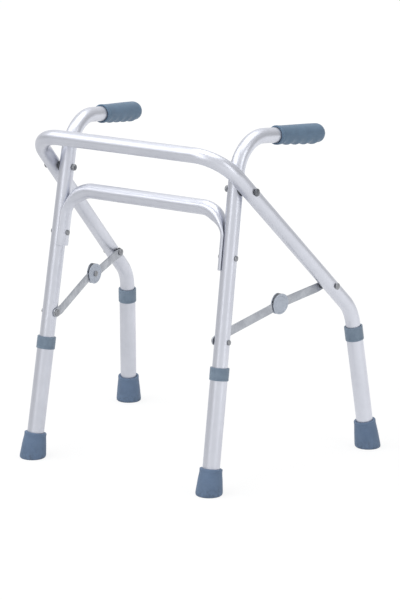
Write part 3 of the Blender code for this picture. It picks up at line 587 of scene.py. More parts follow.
class Graph:
    """Writes nodes into a material or a group with short calls."""

    def __init__(self, tree: bpy.types.NodeTree) -> None:
        """Takes the node tree to write into."""
        self.tree = tree

    def feed(self, socket: Socket, value: object) -> None:
        """Links a socket to another, or sets it.

        Args:
            socket: The input socket.
            value: Another socket or a value. A colour gets full alpha.
        """
        if isinstance(value, Socket):
            self.tree.links.new(value, socket)
        else:
            socket.default_value = (*value, 1.0) if socket.type == "RGBA" else value

    def node(self, kind: str, feeds: dict[str | int, object] | None = None,
             **settings: object) -> bpy.types.Node:
        """Adds a node.

        Args:
            kind: The node's type.
            feeds: What goes into its inputs, by their names or numbers.
            settings: Properties of the node to set.

        Returns:
            The new node.
        """
        made = self.tree.nodes.new(kind)
        for name, value in settings.items():
            setattr(made, name, value)
        for key, value in (feeds or {}).items():
            self.feed(made.inputs[key], value)
        return made

    def maths(self, operation: str, first: object, second: object = 0.0,
              clamp: bool = False) -> Socket:
        """Result of a Math node on two values."""
        return self.node("ShaderNodeMath", {0: first, 1: second}, operation=operation,
                         use_clamp=clamp).outputs[0]

    def times(self, first: object, second: object) -> Socket:
        """Product of two values."""
        return self.maths("MULTIPLY", first, second)

    def plus(self, first: object, second: object, share: float, clamp: bool = False) -> Socket:
        """The first value and a share of the second."""
        return self.maths("ADD", first, self.times(second, share), clamp)

    def vectors(self, operation: str, first: object, second: object = (0.0, 0.0, 0.0),
                output: str = "Vector") -> Socket:
        """Result of a Vector Math node on two vectors."""
        return self.node("ShaderNodeVectorMath", {0: first, 1: second},
                         operation=operation).outputs[output]

    def noise(self, vector: object, scale: object, detail: float = 3.0,
              roughness: float = 0.55) -> Socket:
        """Noise between 0 and 1 at a scale on some coordinates."""
        return self.node("ShaderNodeTexNoise", {"Vector": vector, "Scale": scale, "Detail": detail,
                                                "Roughness": roughness}).outputs["Fac"]

    def cells(self, vector: object, scale: object, feature: str) -> Socket:
        """Distance in a pattern of cells at a scale on some coordinates."""
        return self.node("ShaderNodeTexVoronoi", {"Vector": vector, "Scale": scale},
                         feature=feature).outputs["Distance"]

    def spread(self, value: object, low: float, high: float, to_low: object = 0.0,
               to_high: object = 1.0) -> Socket:
        """Stretches a range of values to another one, held at both ends."""
        return self.node("ShaderNodeMapRange", dict(enumerate((value, low, high, to_low, to_high))),
                         clamp=True, interpolation_type="SMOOTHSTEP").outputs["Result"]

    def mix(self, share: object, first: object, second: object) -> Socket:
        """Colour mixed by a share of the second."""
        return self.node("ShaderNodeMix", {"Factor": share, 6: first, 7: second},
                         data_type="RGBA").outputs[2]

    def stretched(self, vector: object, scale: Triple) -> Socket:
        """Coordinates scaled along their axes by a Mapping node."""
        return self.node("ShaderNodeMapping", {"Vector": vector, "Scale": scale}).outputs["Vector"]


def drawn_grain(graph: Graph, surface: Socket, amount: Socket) -> Socket:
    """Fine lines along a drawn and brushed tube, from noise stretched along the UV map.

    Args:
        graph: Writes the group.
        surface: The UV map in metres.
        amount: Strength of the lines.

    Returns:
        Lines about 0.
    """
    fine = graph.noise(graph.stretched(surface, (900.0, 5.0, 1.0)), 1.0, 2.0)
    broad = graph.noise(graph.stretched(surface, (300.0, 2.0, 1.0)), 1.0, 2.0)
    both = graph.plus(graph.times(fine, 0.6), broad, 0.4)
    return graph.times(graph.maths("SUBTRACT", both, 0.5), amount)


def clouding(graph: Graph, place: Socket, size: Socket) -> Socket:
    """Slow clouds of slightly uneven colour, from two sizes of noise on Object coordinates.

    Args:
        graph: Writes the group.
        place: Object coordinates.
        size: Scale of the larger clouds.

    Returns:
        Clouds from 0 to 1.
    """
    large = graph.noise(place, size)
    small = graph.noise(place, graph.times(size, 6.3), 4.0)
    return graph.spread(graph.plus(graph.times(large, 0.7), small, 0.3), 0.34, 0.66)


def stipple(graph: Graph, place: Socket, scale: Socket) -> Socket:
    """Fine moulded grain: rounded cells and finer noise between them.

    Args:
        graph: Writes the group.
        place: Object coordinates.
        scale: Scale of the cells.

    Returns:
        Height of the grain.
    """
    rounds = graph.cells(place, scale, "SMOOTH_F1")
    return graph.plus(graph.times(rounds, 0.7), graph.noise(place, graph.times(scale, 1.7)), 0.5)


def scuffs(graph: Graph, place: Socket, amount: Socket) -> Socket:
    """Thin short scratches in patches: the edges of stretched cells, kept where noise is high.

    Args:
        graph: Writes the group.
        place: Object coordinates.
        amount: Strength of the scratches.

    Returns:
        Scratches from 0 to the amount.
    """
    warp = graph.node("ShaderNodeTexNoise", {"Vector": place, "Scale": 38.0}).outputs["Color"]
    shift = graph.vectors("MULTIPLY", warp, (0.012,) * 3)
    bent = graph.vectors("ADD", graph.stretched(place, (1.0, 1.0, 0.16)), shift)
    lines = graph.spread(graph.cells(bent, 210.0, "DISTANCE_TO_EDGE"), 0.0, 0.035, 1.0, 0.0)
    patches = graph.spread(graph.noise(place, 55.0, 4.0), 0.56, 0.70)
    return graph.times(graph.times(lines, patches), amount)


def floor_dust(graph: Graph, place: Socket, reach: Socket) -> Socket:
    """A mask that thins out over the lowest centimetres, broken up by noise: real dust on some finishes,
    painted shade at the base of the tips.

    Args:
        graph: Writes the group.
        place: Object coordinates.
        reach: Height at which the mask ends.

    Returns:
        The mask from 0 to 1.
    """
    height = graph.node("ShaderNodeSeparateXYZ", {0: place}).outputs["Z"]
    low = graph.spread(graph.maths("DIVIDE", height, reach), 0.0, 1.0, 1.0, 0.0)
    return graph.times(low, graph.spread(graph.noise(place, 190.0, 5.0, 0.65), 0.42, 0.72))


class Effect(Enum):
    """Shader node groups that several finishes share, each with what writes its nodes."""

    DRAWN_GRAIN = (drawn_grain,)
    CLOUDING = (clouding,)
    STIPPLE = (stipple,)
    SCUFFS = (scuffs,)
    FLOOR_DUST = (floor_dust,)

    @property
    def group(self) -> str:
        """Name of the node group."""
        return self.name.lower()

    def build(self) -> None:
        """Makes the group, which takes a place and an amount and gives one number."""
        tree = bpy.data.node_groups.new(self.group, "ShaderNodeTree")
        tree.interface.new_socket("Place", in_out="INPUT", socket_type="NodeSocketVector")
        tree.interface.new_socket("Amount", in_out="INPUT", socket_type="NodeSocketFloat")
        tree.interface.new_socket("Result", in_out="OUTPUT", socket_type="NodeSocketFloat")
        graph = Graph(tree)
        given = graph.node("NodeGroupInput").outputs
        graph.node("NodeGroupOutput", {"Result": self.value[0](graph, given[0], given[1])})


class Material:
    """A material in the making: its writer, its Principled shader and its coordinates."""

    def __init__(self, name: str) -> None:
        """Makes the empty node material.

        Args:
            name: Its name.
        """
        self.made = bpy.data.materials.new(name)
        self.made.use_nodes = True
        self.graph = Graph(self.made.node_tree)
        self.shader = self.made.node_tree.nodes["Principled BSDF"]
        self.coordinates = self.graph.node("ShaderNodeTexCoord").outputs

    def effect(self, effect: Effect, amount: float, on: str = "Object") -> Socket:
        """Places a shared effect with this material's amount on its coordinates.

        Args:
            effect: The shared effect.
            amount: Its amount, size or scale.
            on: Name of the coordinates that it lies on.

        Returns:
            The effect's result.
        """
        return self.graph.node("ShaderNodeGroup", {"Place": self.coordinates[on], "Amount": amount},
                               node_tree=bpy.data.node_groups[effect.group]).outputs["Result"]

    def finish(self, height: object, relief: float, **values: object) -> bpy.types.Material:
        """Gives the shader its bump and values.

        Args:
            height: Height of the bump.
            relief: The bump's distance in metres.
            values: Values or links for sockets, named with underscores for spaces.

        Returns:
            The material.
        """
        bump = self.graph.node("ShaderNodeBump", {"Strength": 1.0, "Distance": relief,
                                                  "Height": height})
        for name, value in {**values, "Normal": bump.outputs["Normal"]}.items():
            self.graph.feed(self.shader.inputs[name.replace("_", " ")], value)
        return self.made


@dataclass(frozen=True)
class TubeMetal:
    """Satin anodised aluminium tube with faint drawing lines, clouds and a few scuffs."""

    name: str
    light: Colour
    shade: Colour
    scuffed: Colour
    metallic: float = 0.88
    smooth: float = 0.34
    rough: float = 0.40
    lines: float = 0.20
    cloud_size: float = 14.0
    scuff_amount: float = 0.12
    relief: float = 0.000006

    def build(self) -> bpy.types.Material:
        """Builds the finish's material.

        Returns:
            The material.
        """
        made = Material(self.name)
        graph = made.graph
        cloud = made.effect(Effect.CLOUDING, self.cloud_size)
        lines = made.effect(Effect.DRAWN_GRAIN, self.lines, "UV")
        scuff = made.effect(Effect.SCUFFS, self.scuff_amount)
        colour = graph.mix(graph.maths("ADD", cloud, lines, True), self.shade, self.light)
        rough = graph.spread(graph.plus(cloud, lines, 1.5), 0.0, 1.0, self.rough, self.smooth)
        return made.finish(graph.plus(lines, scuff, -0.6), self.relief,
                           Base_Color=graph.mix(scuff, colour, self.scuffed),
                           Roughness=graph.plus(rough, scuff, 0.08), Metallic=self.metallic)


@dataclass(frozen=True)
class PlainMetal:
    """Pressed or turned steel: plated, blackened or sprung, with fine clouds, worn spots and painted
    shade on marked faces.
    """

    name: str
    base: Colour
    worn: Colour
    metallic: float
    roughness: float
    cloud_size: float = 120.0
    grain: float = 900.0
    scuff_amount: float = 0.6
    relief: float = 0.00003
    painted_shade_colour: Colour | None = None

    def build(self) -> bpy.types.Material:
        """Builds the finish's material.

        Returns:
            The material.
        """
        made = Material(self.name)
        graph = made.graph
        cloud = made.effect(Effect.CLOUDING, self.cloud_size)
        scuff = made.effect(Effect.SCUFFS, self.scuff_amount)
        share = graph.maths("ADD", graph.times(cloud, 0.35), scuff, True)
        colour = graph.mix(share, self.base, self.worn)
        # Marked faces are painted in a dark colour that stands in for shade.
        if self.painted_shade_colour is not None:
            mask = graph.node("ShaderNodeAttribute", attribute_name="painted_shade").outputs["Fac"]
            colour = graph.mix(mask, colour, self.painted_shade_colour)
        rough = graph.spread(cloud, 0.0, 1.0, self.roughness + 0.06, self.roughness - 0.05)
        return made.finish(made.effect(Effect.STIPPLE, self.grain), self.relief,
                           Base_Color=colour, Roughness=rough, Metallic=self.metallic)


@dataclass(frozen=True)
class Moulded:
    """Moulded plastic or rubber: stippled and a little chalky, dusty near the floor, and on the tips
    painted darker near the floor as shade.
    """

    name: str
    deep: Colour
    light: Colour
    dust: Colour
    roughness: float
    stipple: float = 1300.0
    relief: float = 0.00010
    cloud_size: float = 60.0
    scuff_amount: float = 0.5
    dust_and_shade_reach: float = 0.03
    dust_and_shade_amount: float = 0.30
    sheen: float = 0.0

    def build(self) -> bpy.types.Material:
        """Builds the finish's material.

        Returns:
            The material.
        """
        made = Material(self.name)
        graph = made.graph
        cloud = made.effect(Effect.CLOUDING, self.cloud_size)
        grain = made.effect(Effect.STIPPLE, self.stipple)
        scuff = made.effect(Effect.SCUFFS, self.scuff_amount)
        dust = made.effect(Effect.FLOOR_DUST, self.dust_and_shade_reach)
        tone = graph.plus(graph.times(cloud, 0.7), grain, 0.3, True)
        # Near the floor the colour moves to a third colour: lighter dust on the plastics, painted shade
        # at the base of the tips.
        pale = graph.plus(graph.times(dust, self.dust_and_shade_amount), scuff, 0.35, True)
        colour = graph.mix(pale, graph.mix(tone, self.deep, self.light), self.dust)
        rough = graph.spread(tone, 0.0, 1.0, self.roughness - 0.07, self.roughness + 0.07)
        return made.finish(grain, self.relief, Base_Color=colour, Roughness=rough,
                           Sheen_Weight=self.sheen)


class Finish(Enum):
    """The finishes, each with the material slot that it belongs to."""

    ALUMINIUM = ("aluminium", TubeMetal(
        "satin_aluminium", (0.625, 0.642, 0.705), (0.590, 0.607, 0.670), (0.44, 0.46, 0.52)))
    BRACE = ("brace_metal", TubeMetal(
        "brushed_brace_bar", (0.432, 0.452, 0.489), (0.370, 0.388, 0.426), (0.24, 0.25, 0.28),
        rough=0.46, lines=0.5, cloud_size=60.0))
    # The housing's wall between the discs is painted dark, as the shade that falls there.
    DRUM = ("hinge_drum", PlainMetal(
        "grey_hinge_housing", (0.448, 0.494, 0.571), (0.500, 0.543, 0.620), 0.35, 0.42,
        painted_shade_colour=(0.085, 0.095, 0.115)))
    PLATED = ("fasteners", PlainMetal(
        "dull_plated_steel", (0.285, 0.295, 0.315), (0.40, 0.41, 0.43), 0.60, 0.42))
    BLACKENED = ("fasteners", PlainMetal(
        "blackened_steel", (0.135, 0.144, 0.162), (0.25, 0.262, 0.285), 0.5, 0.42))
    SPRING = ("spring_steel", PlainMetal(
        "spring_steel", (0.40, 0.42, 0.45), (0.56, 0.58, 0.61), 1.0, 0.30))
    SLATE = ("plastic", Moulded(
        "slate_plastic", (0.156, 0.215, 0.293), (0.213, 0.282, 0.367), (0.36, 0.39, 0.43), 0.46,
        dust_and_shade_reach=0.02))
    BLACK = ("plastic", Moulded(
        "black_plastic", (0.050, 0.056, 0.066), (0.085, 0.093, 0.107), (0.20, 0.21, 0.22), 0.48,
        dust_and_shade_reach=0.02))
    GRIP = ("grip_rubber", Moulded(
        "grip_rubber", (0.096, 0.165, 0.254), (0.135, 0.220, 0.325), (0.30, 0.34, 0.39), 0.58,
        stipple=900.0, relief=0.00018, sheen=0.1))
    # The tips' third colour is darker: it paints shade at their base near the floor.
    TIP = ("tip_rubber", Moulded(
        "tip_rubber", (0.107, 0.168, 0.276), (0.145, 0.215, 0.333), (0.062, 0.084, 0.110), 0.64,
        dust_and_shade_amount=0.6, stipple=1000.0, relief=0.00014, sheen=0.08))

    @property
    def slot(self) -> str:
        """Its material slot."""
        return self.value[0]


class Bench:
    """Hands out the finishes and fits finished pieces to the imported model."""

    def __init__(self) -> None:
        """Builds the shared effects and every finish once."""
        for effect in Effect:
            effect.build()
        self.materials = {finish: finish.value[1].build() for finish in Finish}
        self.pieces: dict[str, int] = {}

    def fit(self, shell: Shell, finish: Finish, body: str, name: str, node: str, tag: str = "",
            crease: float = 38.0) -> None:
        """Makes a piece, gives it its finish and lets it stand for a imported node.

        Args:
            shell: The piece's surface.
            finish: Its finish.
            body: The body that it rides on.
            name: Its name, without the tag.
            node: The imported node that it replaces, without the tag.
            tag: End of both names, which tells the side or the leg.
            crease: Edges that turn by more than this many degrees stay sharp.
        """
        piece = shell.make(name + tag, crease)
        piece.data.materials.append(self.materials[finish])
        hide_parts(node + tag)
        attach(piece, body)
        self.pieces[piece.name] = len(piece.data.polygons)
        log.info("%s: %d faces, rides on %s", piece.name, len(piece.data.polygons), body)

    def dress(self, node: bpy.types.Object, finish: Finish) -> None:
        """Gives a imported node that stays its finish.

        Args:
            node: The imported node.
            finish: Its finish.
        """
        node.data.materials.clear()
        node.data.materials.append(self.materials[finish])
        log.info("%s: kept, with %s", node.name, finish.slot)


# Sub-assemblies

@dataclass
class FrameTubes:
    """The two cane-shaped front legs and the one long tube of the rear frame."""

    handle_bend_r: float = 0.0662
    corner_bend_r: float = 0.058
    knee_bend_r: float = 0.070

    def leg_path(self, side: Side) -> TubePath:
        """Centre line of a front leg: up from inside the sleeve, over and back to the grip.

        Args:
            side: The walker's side.

        Returns:
            The path.
        """
        foot, top = LAYOUT.leg_line(LegEnd.FRONT, side)
        reach = LAYOUT.grip_start + LAYOUT.grip_length - LAYOUT.handle_end_in_grip
        low = foot + unit(top - foot) * LAYOUT.tube_start
        return TubePath.bent([low, top, side.mirror(LAYOUT.handle_point(reach))],
                             [self.handle_bend_r], Y_AXIS)

    def rear_path(self) -> TubePath:
        """Centre line of the rear frame, from the left rear leg over the crossbar to the right.

        Returns:
            The path.
        """
        foot, knee = LAYOUT.rear_foot, LAYOUT.rear_knee
        right = [LAYOUT.rear_corner, knee, foot + unit(knee - foot) * LAYOUT.tube_start]
        left = [Side.LEFT.mirror(point) for point in reversed(right)]
        radii = [self.knee_bend_r, self.corner_bend_r, self.corner_bend_r, self.knee_bend_r]
        return TubePath.bent(left + right, radii, Y_AXIS)

    def build(self, bench: Bench) -> None:
        """Builds the three tubes.

        Args:
            bench: Fits the pieces.
        """
        for side in Side:
            bench.fit(sweep(self.leg_path(side)), Finish.ALUMINIUM, "front_frame", "cane_leg",
                      "front_leg", side.tag)
        bench.fit(sweep(self.rear_path()), Finish.ALUMINIUM, "rear_frame", "rear_frame_bent_tube",
                  "rear_frame_tube")


@dataclass
class LowerCrossbar:
    """The lower crossbar, its ends crushed into saddles, and the rivets that hold them.

    The end roll gives the last rings' shifts along the bar and how far each is drawn in. The
    rivet's head is its radius and height.
    """

    height: float = 0.4555
    end_height: float = 0.3595
    bend_r: float = 0.045
    saddle_centre: float = 0.0153
    near_r: float = 0.0132
    far_r: float = 0.0176
    half_angle: float = radians(62.0)
    crush_start: float = radians(32.0)
    crush_full: float = radians(87.0)
    end_roll: tuple[Pair, ...] = ((-0.0010, 0.0), (-0.0004, 0.0001), (-0.0001, 0.0004),
                                  (0.0, 0.0009), (-0.0002, 0.0015), (-0.0120, 0.0016))
    rivet_height: float = 0.3810
    rivet_head: Pair = (0.0046, 0.0025)
    rivet_shank_r: float = 0.0023
    sides: int = 72

    def half_rows(self) -> Array:
        """Rings of the right half, from the middle of the bar to the end of its saddle.

        Each ring blends a circle with a crescent about the leg's axis, point by point, by how
        far the bar has turned down. The crescent's points lie at a bend angle B sin a on the
        mean radius, plus or minus half the crushed thickness, which shrinks like a circle
        towards both tips. At the end of the bar the ring is rolled in to a narrow slit.

        Returns:
            Points by ring, place round the ring and coordinate.
        """
        foot, top = LAYOUT.leg
        up = unit(top - foot)
        corner = LAYOUT.at_height(LAYOUT.leg, self.height) - across(up, X_AXIS) * self.saddle_centre
        end = corner - up * ((self.height - self.end_height) / up[2])
        path = TubePath.bent([corner * (Y_AXIS + Z_AXIS), corner, end], [self.bend_r], up,
                             radians(2.5))
        turned = np.arccos(np.clip(path.tangents @ X_AXIS, -1.0, 1.0))
        share = ease((turned - self.crush_start) / (self.crush_full - self.crush_start))
        plain = len(path.points) - 1
        rows = list(range(plain)) + [-1] * len(self.end_roll)
        shift, inset = np.array([(0.0, 0.0)] * plain + list(self.end_roll)).T[..., None]
        a = (np.arange(self.sides) + 0.5) * 2.0 * pi / self.sides - pi / 2.0
        circle = np.stack([np.cos(a), np.sin(a)], axis=-1) * (LAYOUT.tube_r - inset)[..., None]
        mean, half = 0.5 * (self.near_r + self.far_r), 0.5 * (self.far_r - self.near_r)
        bend = (self.half_angle - inset / mean) * np.sin(a)
        tip = np.clip((np.abs(bend) - self.half_angle + inset / mean + half / mean)
                      / (half / mean), 0.0, 1.0)
        thick = (half - inset) * np.sqrt(1.0 - 0.998 * tip ** 2)
        reach = mean - np.where(np.cos(a) > 0.0, 1.0, -1.0) * thick
        crescent = np.stack([self.saddle_centre - reach * np.cos(bend), reach * np.sin(bend)],
                            axis=-1)
        spot = circle + (crescent - circle) * share[rows][:, None, None]
        centre = path.points[rows] + path.tangents[rows] * shift
        return (centre[:, None] + path.first[rows][:, None] * spot[..., :1]
                + path.second[rows][:, None] * spot[..., 1:])

    def build(self, bench: Bench) -> None:
        """Builds the bar and its two rivets.

        Args:
            bench: Fits the pieces.
        """
        right = self.half_rows()
        shell = Shell().flat_ended(np.concatenate([Side.LEFT.mirror(right[:0:-1]), right]),
                                   self.sides // 4)
        bench.fit(shell, Finish.ALUMINIUM, "front_frame", "crossbar_with_saddles", "lower_crossbar")
        radius, height = self.rivet_head
        start = -self.far_r - FIT_GAP
        length = LAYOUT.tube_r + FIT_GAP - start
        profile = ([(r, -h) for r, h in dome(radius, height)][::-1]
                   + [(radius, 0.0), (self.rivet_shank_r, 0.0), (self.rivet_shank_r, length),
                      (radius, length)] + dome(radius, height, length))
        spot = LAYOUT.at_height(LAYOUT.leg, self.rivet_height)
        for side in Side:
            bench.fit(Shell().turned(profile, side.level_pose(spot[0] + start, spot)),
                      Finish.PLATED, "front_frame", "saddle_rivet", "crossbar_rivet", side.tag)


@dataclass
class HandGrips:
    """Soft grips with a lip at the mouth, a palm swell and four finger ridges underneath.

    The ridges ease in over the first length of their pair and out over the second. The lip's
    and the groove's pairs are how far they lie from the lip's length and how wide they are.
    """

    mouth_r: float = 0.0155
    palm_r: float = 0.0167
    palm_share: float = 0.8
    dome_length: float = 0.0170
    dome_fall: float = 0.985
    bore_r: float = 0.0132
    ridge_pitch: float = 0.0230
    ridge_depth: float = 0.0013
    first_ridge: float = 0.0283
    ridge_ease: Pair = (0.02, 0.012)
    facing_power: float = 1.5
    lip_length: float = 0.0060
    lip_height: float = 0.0005
    lip_ease: Pair = (0.0010, 0.0014)
    groove_depth: float = 0.0006
    groove_place: Pair = (0.0012, 0.0009)
    seam_height: float = 0.00022
    seam_width: float = 0.0016
    seam_fade: float = 1.6
    vent_depth: float = 0.0022
    sides: int = 128

    def radius(self, along: Array, downward: Array, seam: Array) -> Array:
        """Outer radius at distances from the mouth.

        It eases from the mouth's to the palm's radius. Over the dome it is multiplied by the
        square root of 1 minus (0.985 f) squared, f being the share of the dome passed. The
        underside gains a cosine wave times the 1.5th power of how far the surface faces down.
        A raised lip, a narrow groove behind it and a fine moulding seam are added.

        Args:
            along: Distances from the mouth, as a column.
            downward: How far each angle faces down, as a row.
            seam: Share of the moulding seam at each angle.

        Returns:
            The radius at each distance and angle.
        """
        length = LAYOUT.grip_length
        start = length - self.dome_length
        radius = self.mouth_r + (self.palm_r - self.mouth_r) * ease(along / (self.palm_share * length))
        fall = np.clip((along - start) / self.dome_length, 0.0, 1.0)
        radius = radius * np.sqrt(1.0 - (self.dome_fall * fall) ** 2)
        first, last = self.ridge_ease
        held = ease(along / first) * (1.0 - ease((along - start) / last))
        wave = np.cos(2.0 * pi * (along - self.first_ridge) / self.ridge_pitch)
        radius = radius + self.ridge_depth * wave * held * np.maximum(0.0, downward) ** self.facing_power
        before, width = self.lip_ease
        lip = 1.0 - ease((along - self.lip_length + before) / width)
        behind, width = self.groove_place
        groove = np.exp(-((along - self.lip_length - behind) / width) ** 2)
        ridge = self.seam_height * seam * (1.0 - ease(fall * self.seam_fade))
        return radius + self.lip_height * lip - self.groove_depth * groove + ridge

    def shell(self, pose: Pose) -> Shell:
        """One grip from bore to vent, as one sheet.

        Args:
            pose: Stands in the mouth, with Z along the grip.

        Returns:
            The grip's surface.
        """
        length, bore = LAYOUT.grip_length, self.bore_r
        start = length - self.dome_length
        cap = start + self.dome_length * np.sin(np.linspace(0.0, pi / 2.0, 20))[1:]
        along = np.concatenate([np.linspace(0.0012, start, 108), cap])[:, None]
        a = round_angles(self.sides)[None]
        down = -(pose.x[2] * np.cos(a) + pose.y[2] * np.sin(a))
        seam = np.exp(-((np.abs(np.sin(a)) - 1.0) / self.seam_width) ** 2)
        outer = self.radius(along, down, seam)
        depth, vent = length - LAYOUT.handle_end_in_grip + 0.001, length - self.vent_depth
        rows = [(bore, depth), (bore, 0.0008), (bore + 0.0004, 0.0001), (bore + 0.0008, 0.0),
                (outer[:1] - 0.0009, 0.0), (outer[:1] - 0.0003, 0.0004), (outer, along),
                (0.0022, length), (0.0018, length - 0.0003), (0.0016, vent)]
        r, h = (np.concatenate([part + 0.0 * a for part in column]) for column in zip(*rows))
        return Shell().capped(pose.turn(r, a, h), pose.on_z(depth), pose.on_z(vent))

    def build(self, bench: Bench) -> None:
        """Builds both grips.

        Args:
            bench: Fits the pieces.
        """
        for side in Side:
            pose = Pose.on_axis(side.mirror(LAYOUT.handle_point(LAYOUT.grip_start)),
                                side.mirror(LAYOUT.handle_way))
            bench.fit(self.shell(pose), Finish.GRIP, "front_frame", "moulded_grip", "hand_grip",
                      side.tag, SOFT_CREASE)


@dataclass
class FoldPivots:
    """Bolt, nut and saddle spacer where the rear frame turns on each front leg.

    The head is its radius and height, and the nut its corner radius and height.
    """

    spacer_r: float = 0.0090
    spacer_back: float = 0.0096
    hole_r: float = 0.0035
    shank_r: float = 0.0030
    shank_edge: float = 0.0005
    head: Pair = (0.0066, 0.0042)
    nut: Pair = (0.0058, 0.0046)
    nut_crease: float = 24.0
    end_beyond_nut: float = 0.0008

    def nut_shell(self, pose: Pose) -> Shell:
        """A hexagonal nut with coned corners.

        At an angle a the hexagon's radius is its flat radius over cos(a mod 60 - 30 degrees),
        and near both faces a cone cuts the corners back. The smaller radius counts.

        Args:
            pose: Stands on the leg, with Z along the nut.

        Returns:
            The nut's surface.
        """
        corner, height = self.nut
        a = round_angles(96)
        hexagon = corner * cos(pi / 6.0) / np.cos((a + pi / 6.0) % (pi / 3.0) - pi / 6.0)
        bore = self.shank_r + 1.5 * FIT_GAP
        levels = np.array([0.0, 0.0, 0.0003, 0.0007, 0.0012, height - 0.0016, height - 0.0008,
                           height - 0.0003, height, height])[:, None]
        cone = np.array([bore, 0.84, 0.90, 0.95, 1.01, 1.01, 0.94, 0.88, 0.82, bore])[:, None]
        cone[1:-1] *= corner
        return Shell().ring(pose.turn(np.minimum(cone, hexagon), a, levels))

    def spacer_shell(self, side: Side, leg: Array, arm: Array) -> Shell:
        """A round puck whose inner end is hollowed to sit on the front leg.

        The hollow is where a line along X at each (y, z) meets a cylinder about the leg: with
        u the leg's direction, x solves (1 - ux^2) x^2 - 2 ux q x + (y^2 + z^2 - q^2 - R^2) = 0,
        q being uy y + uz z.

        Args:
            side: The walker's side.
            leg: Where the fold's axis passes the right leg.
            arm: Where the fold's axis passes the right arm.

        Returns:
            The spacer's surface.
        """
        u = unit(LAYOUT.leg_top - LAYOUT.front_foot)
        reach = LAYOUT.tube_r + FIT_GAP
        stop = arm[0] - leg[0] - LAYOUT.seat(LAYOUT.arm, self.spacer_r)
        r, hole = self.spacer_r, self.hole_r
        radii, share = np.array([
            (hole, 0.0), (0.0050, 0.0), (0.0066, 0.0), (0.0080, 0.0), (r - 0.0003, 0.0), (r, 0.03),
            (r, 0.5), (r, 0.94), (r - 0.0005, 1.0), (0.0066, 1.0), (hole, 1.0)]).T[..., None]
        a = round_angles(64)
        y, z = radii * np.cos(a), radii * np.sin(a)
        q = u[1] * y + u[2] * z
        square = 1.0 - u[0] ** 2
        root = np.sqrt((u[0] * q) ** 2 - square * (y ** 2 + z ** 2 - q ** 2 - reach ** 2))
        hollow = np.maximum((u[0] * q + root) / square, self.spacer_back)
        x = hollow + (stop - hollow) * share
        return Shell().ring(side.mirror(leg + np.stack([x, y, z], axis=-1)))

    def build(self, bench: Bench) -> None:
        """Builds bolt, nut and spacer on both sides.

        Args:
            bench: Fits the pieces.
        """
        leg, arm = LAYOUT.pivots()
        nut_x = leg[0] - LAYOUT.seat(LAYOUT.leg, self.nut[0])
        shank_x = nut_x - self.nut[1] - self.end_beyond_nut
        length = arm[0] + LAYOUT.seat(LAYOUT.arm, self.head[0]) - shank_x
        profile = headed(self.shank_r, self.head, length, 14)
        profile[1:2] = [(self.shank_r - self.shank_edge, 0.0), (self.shank_r, self.shank_edge)]
        for side in Side:
            bench.fit(Shell().turned(profile, side.level_pose(shank_x, leg), 48),
                      Finish.BLACKENED, "front_frame", "fold_bolt", "pivot_bolt", side.tag)
            bench.fit(self.nut_shell(side.level_pose(nut_x, leg, -1.0)), Finish.PLATED,
                      "front_frame", "fold_nut", "pivot_nut", side.tag, self.nut_crease)
            bench.fit(self.spacer_shell(side, leg, arm), Finish.BLACK, "front_frame",
                      "fold_spacer", "pivot_spacer", side.tag)


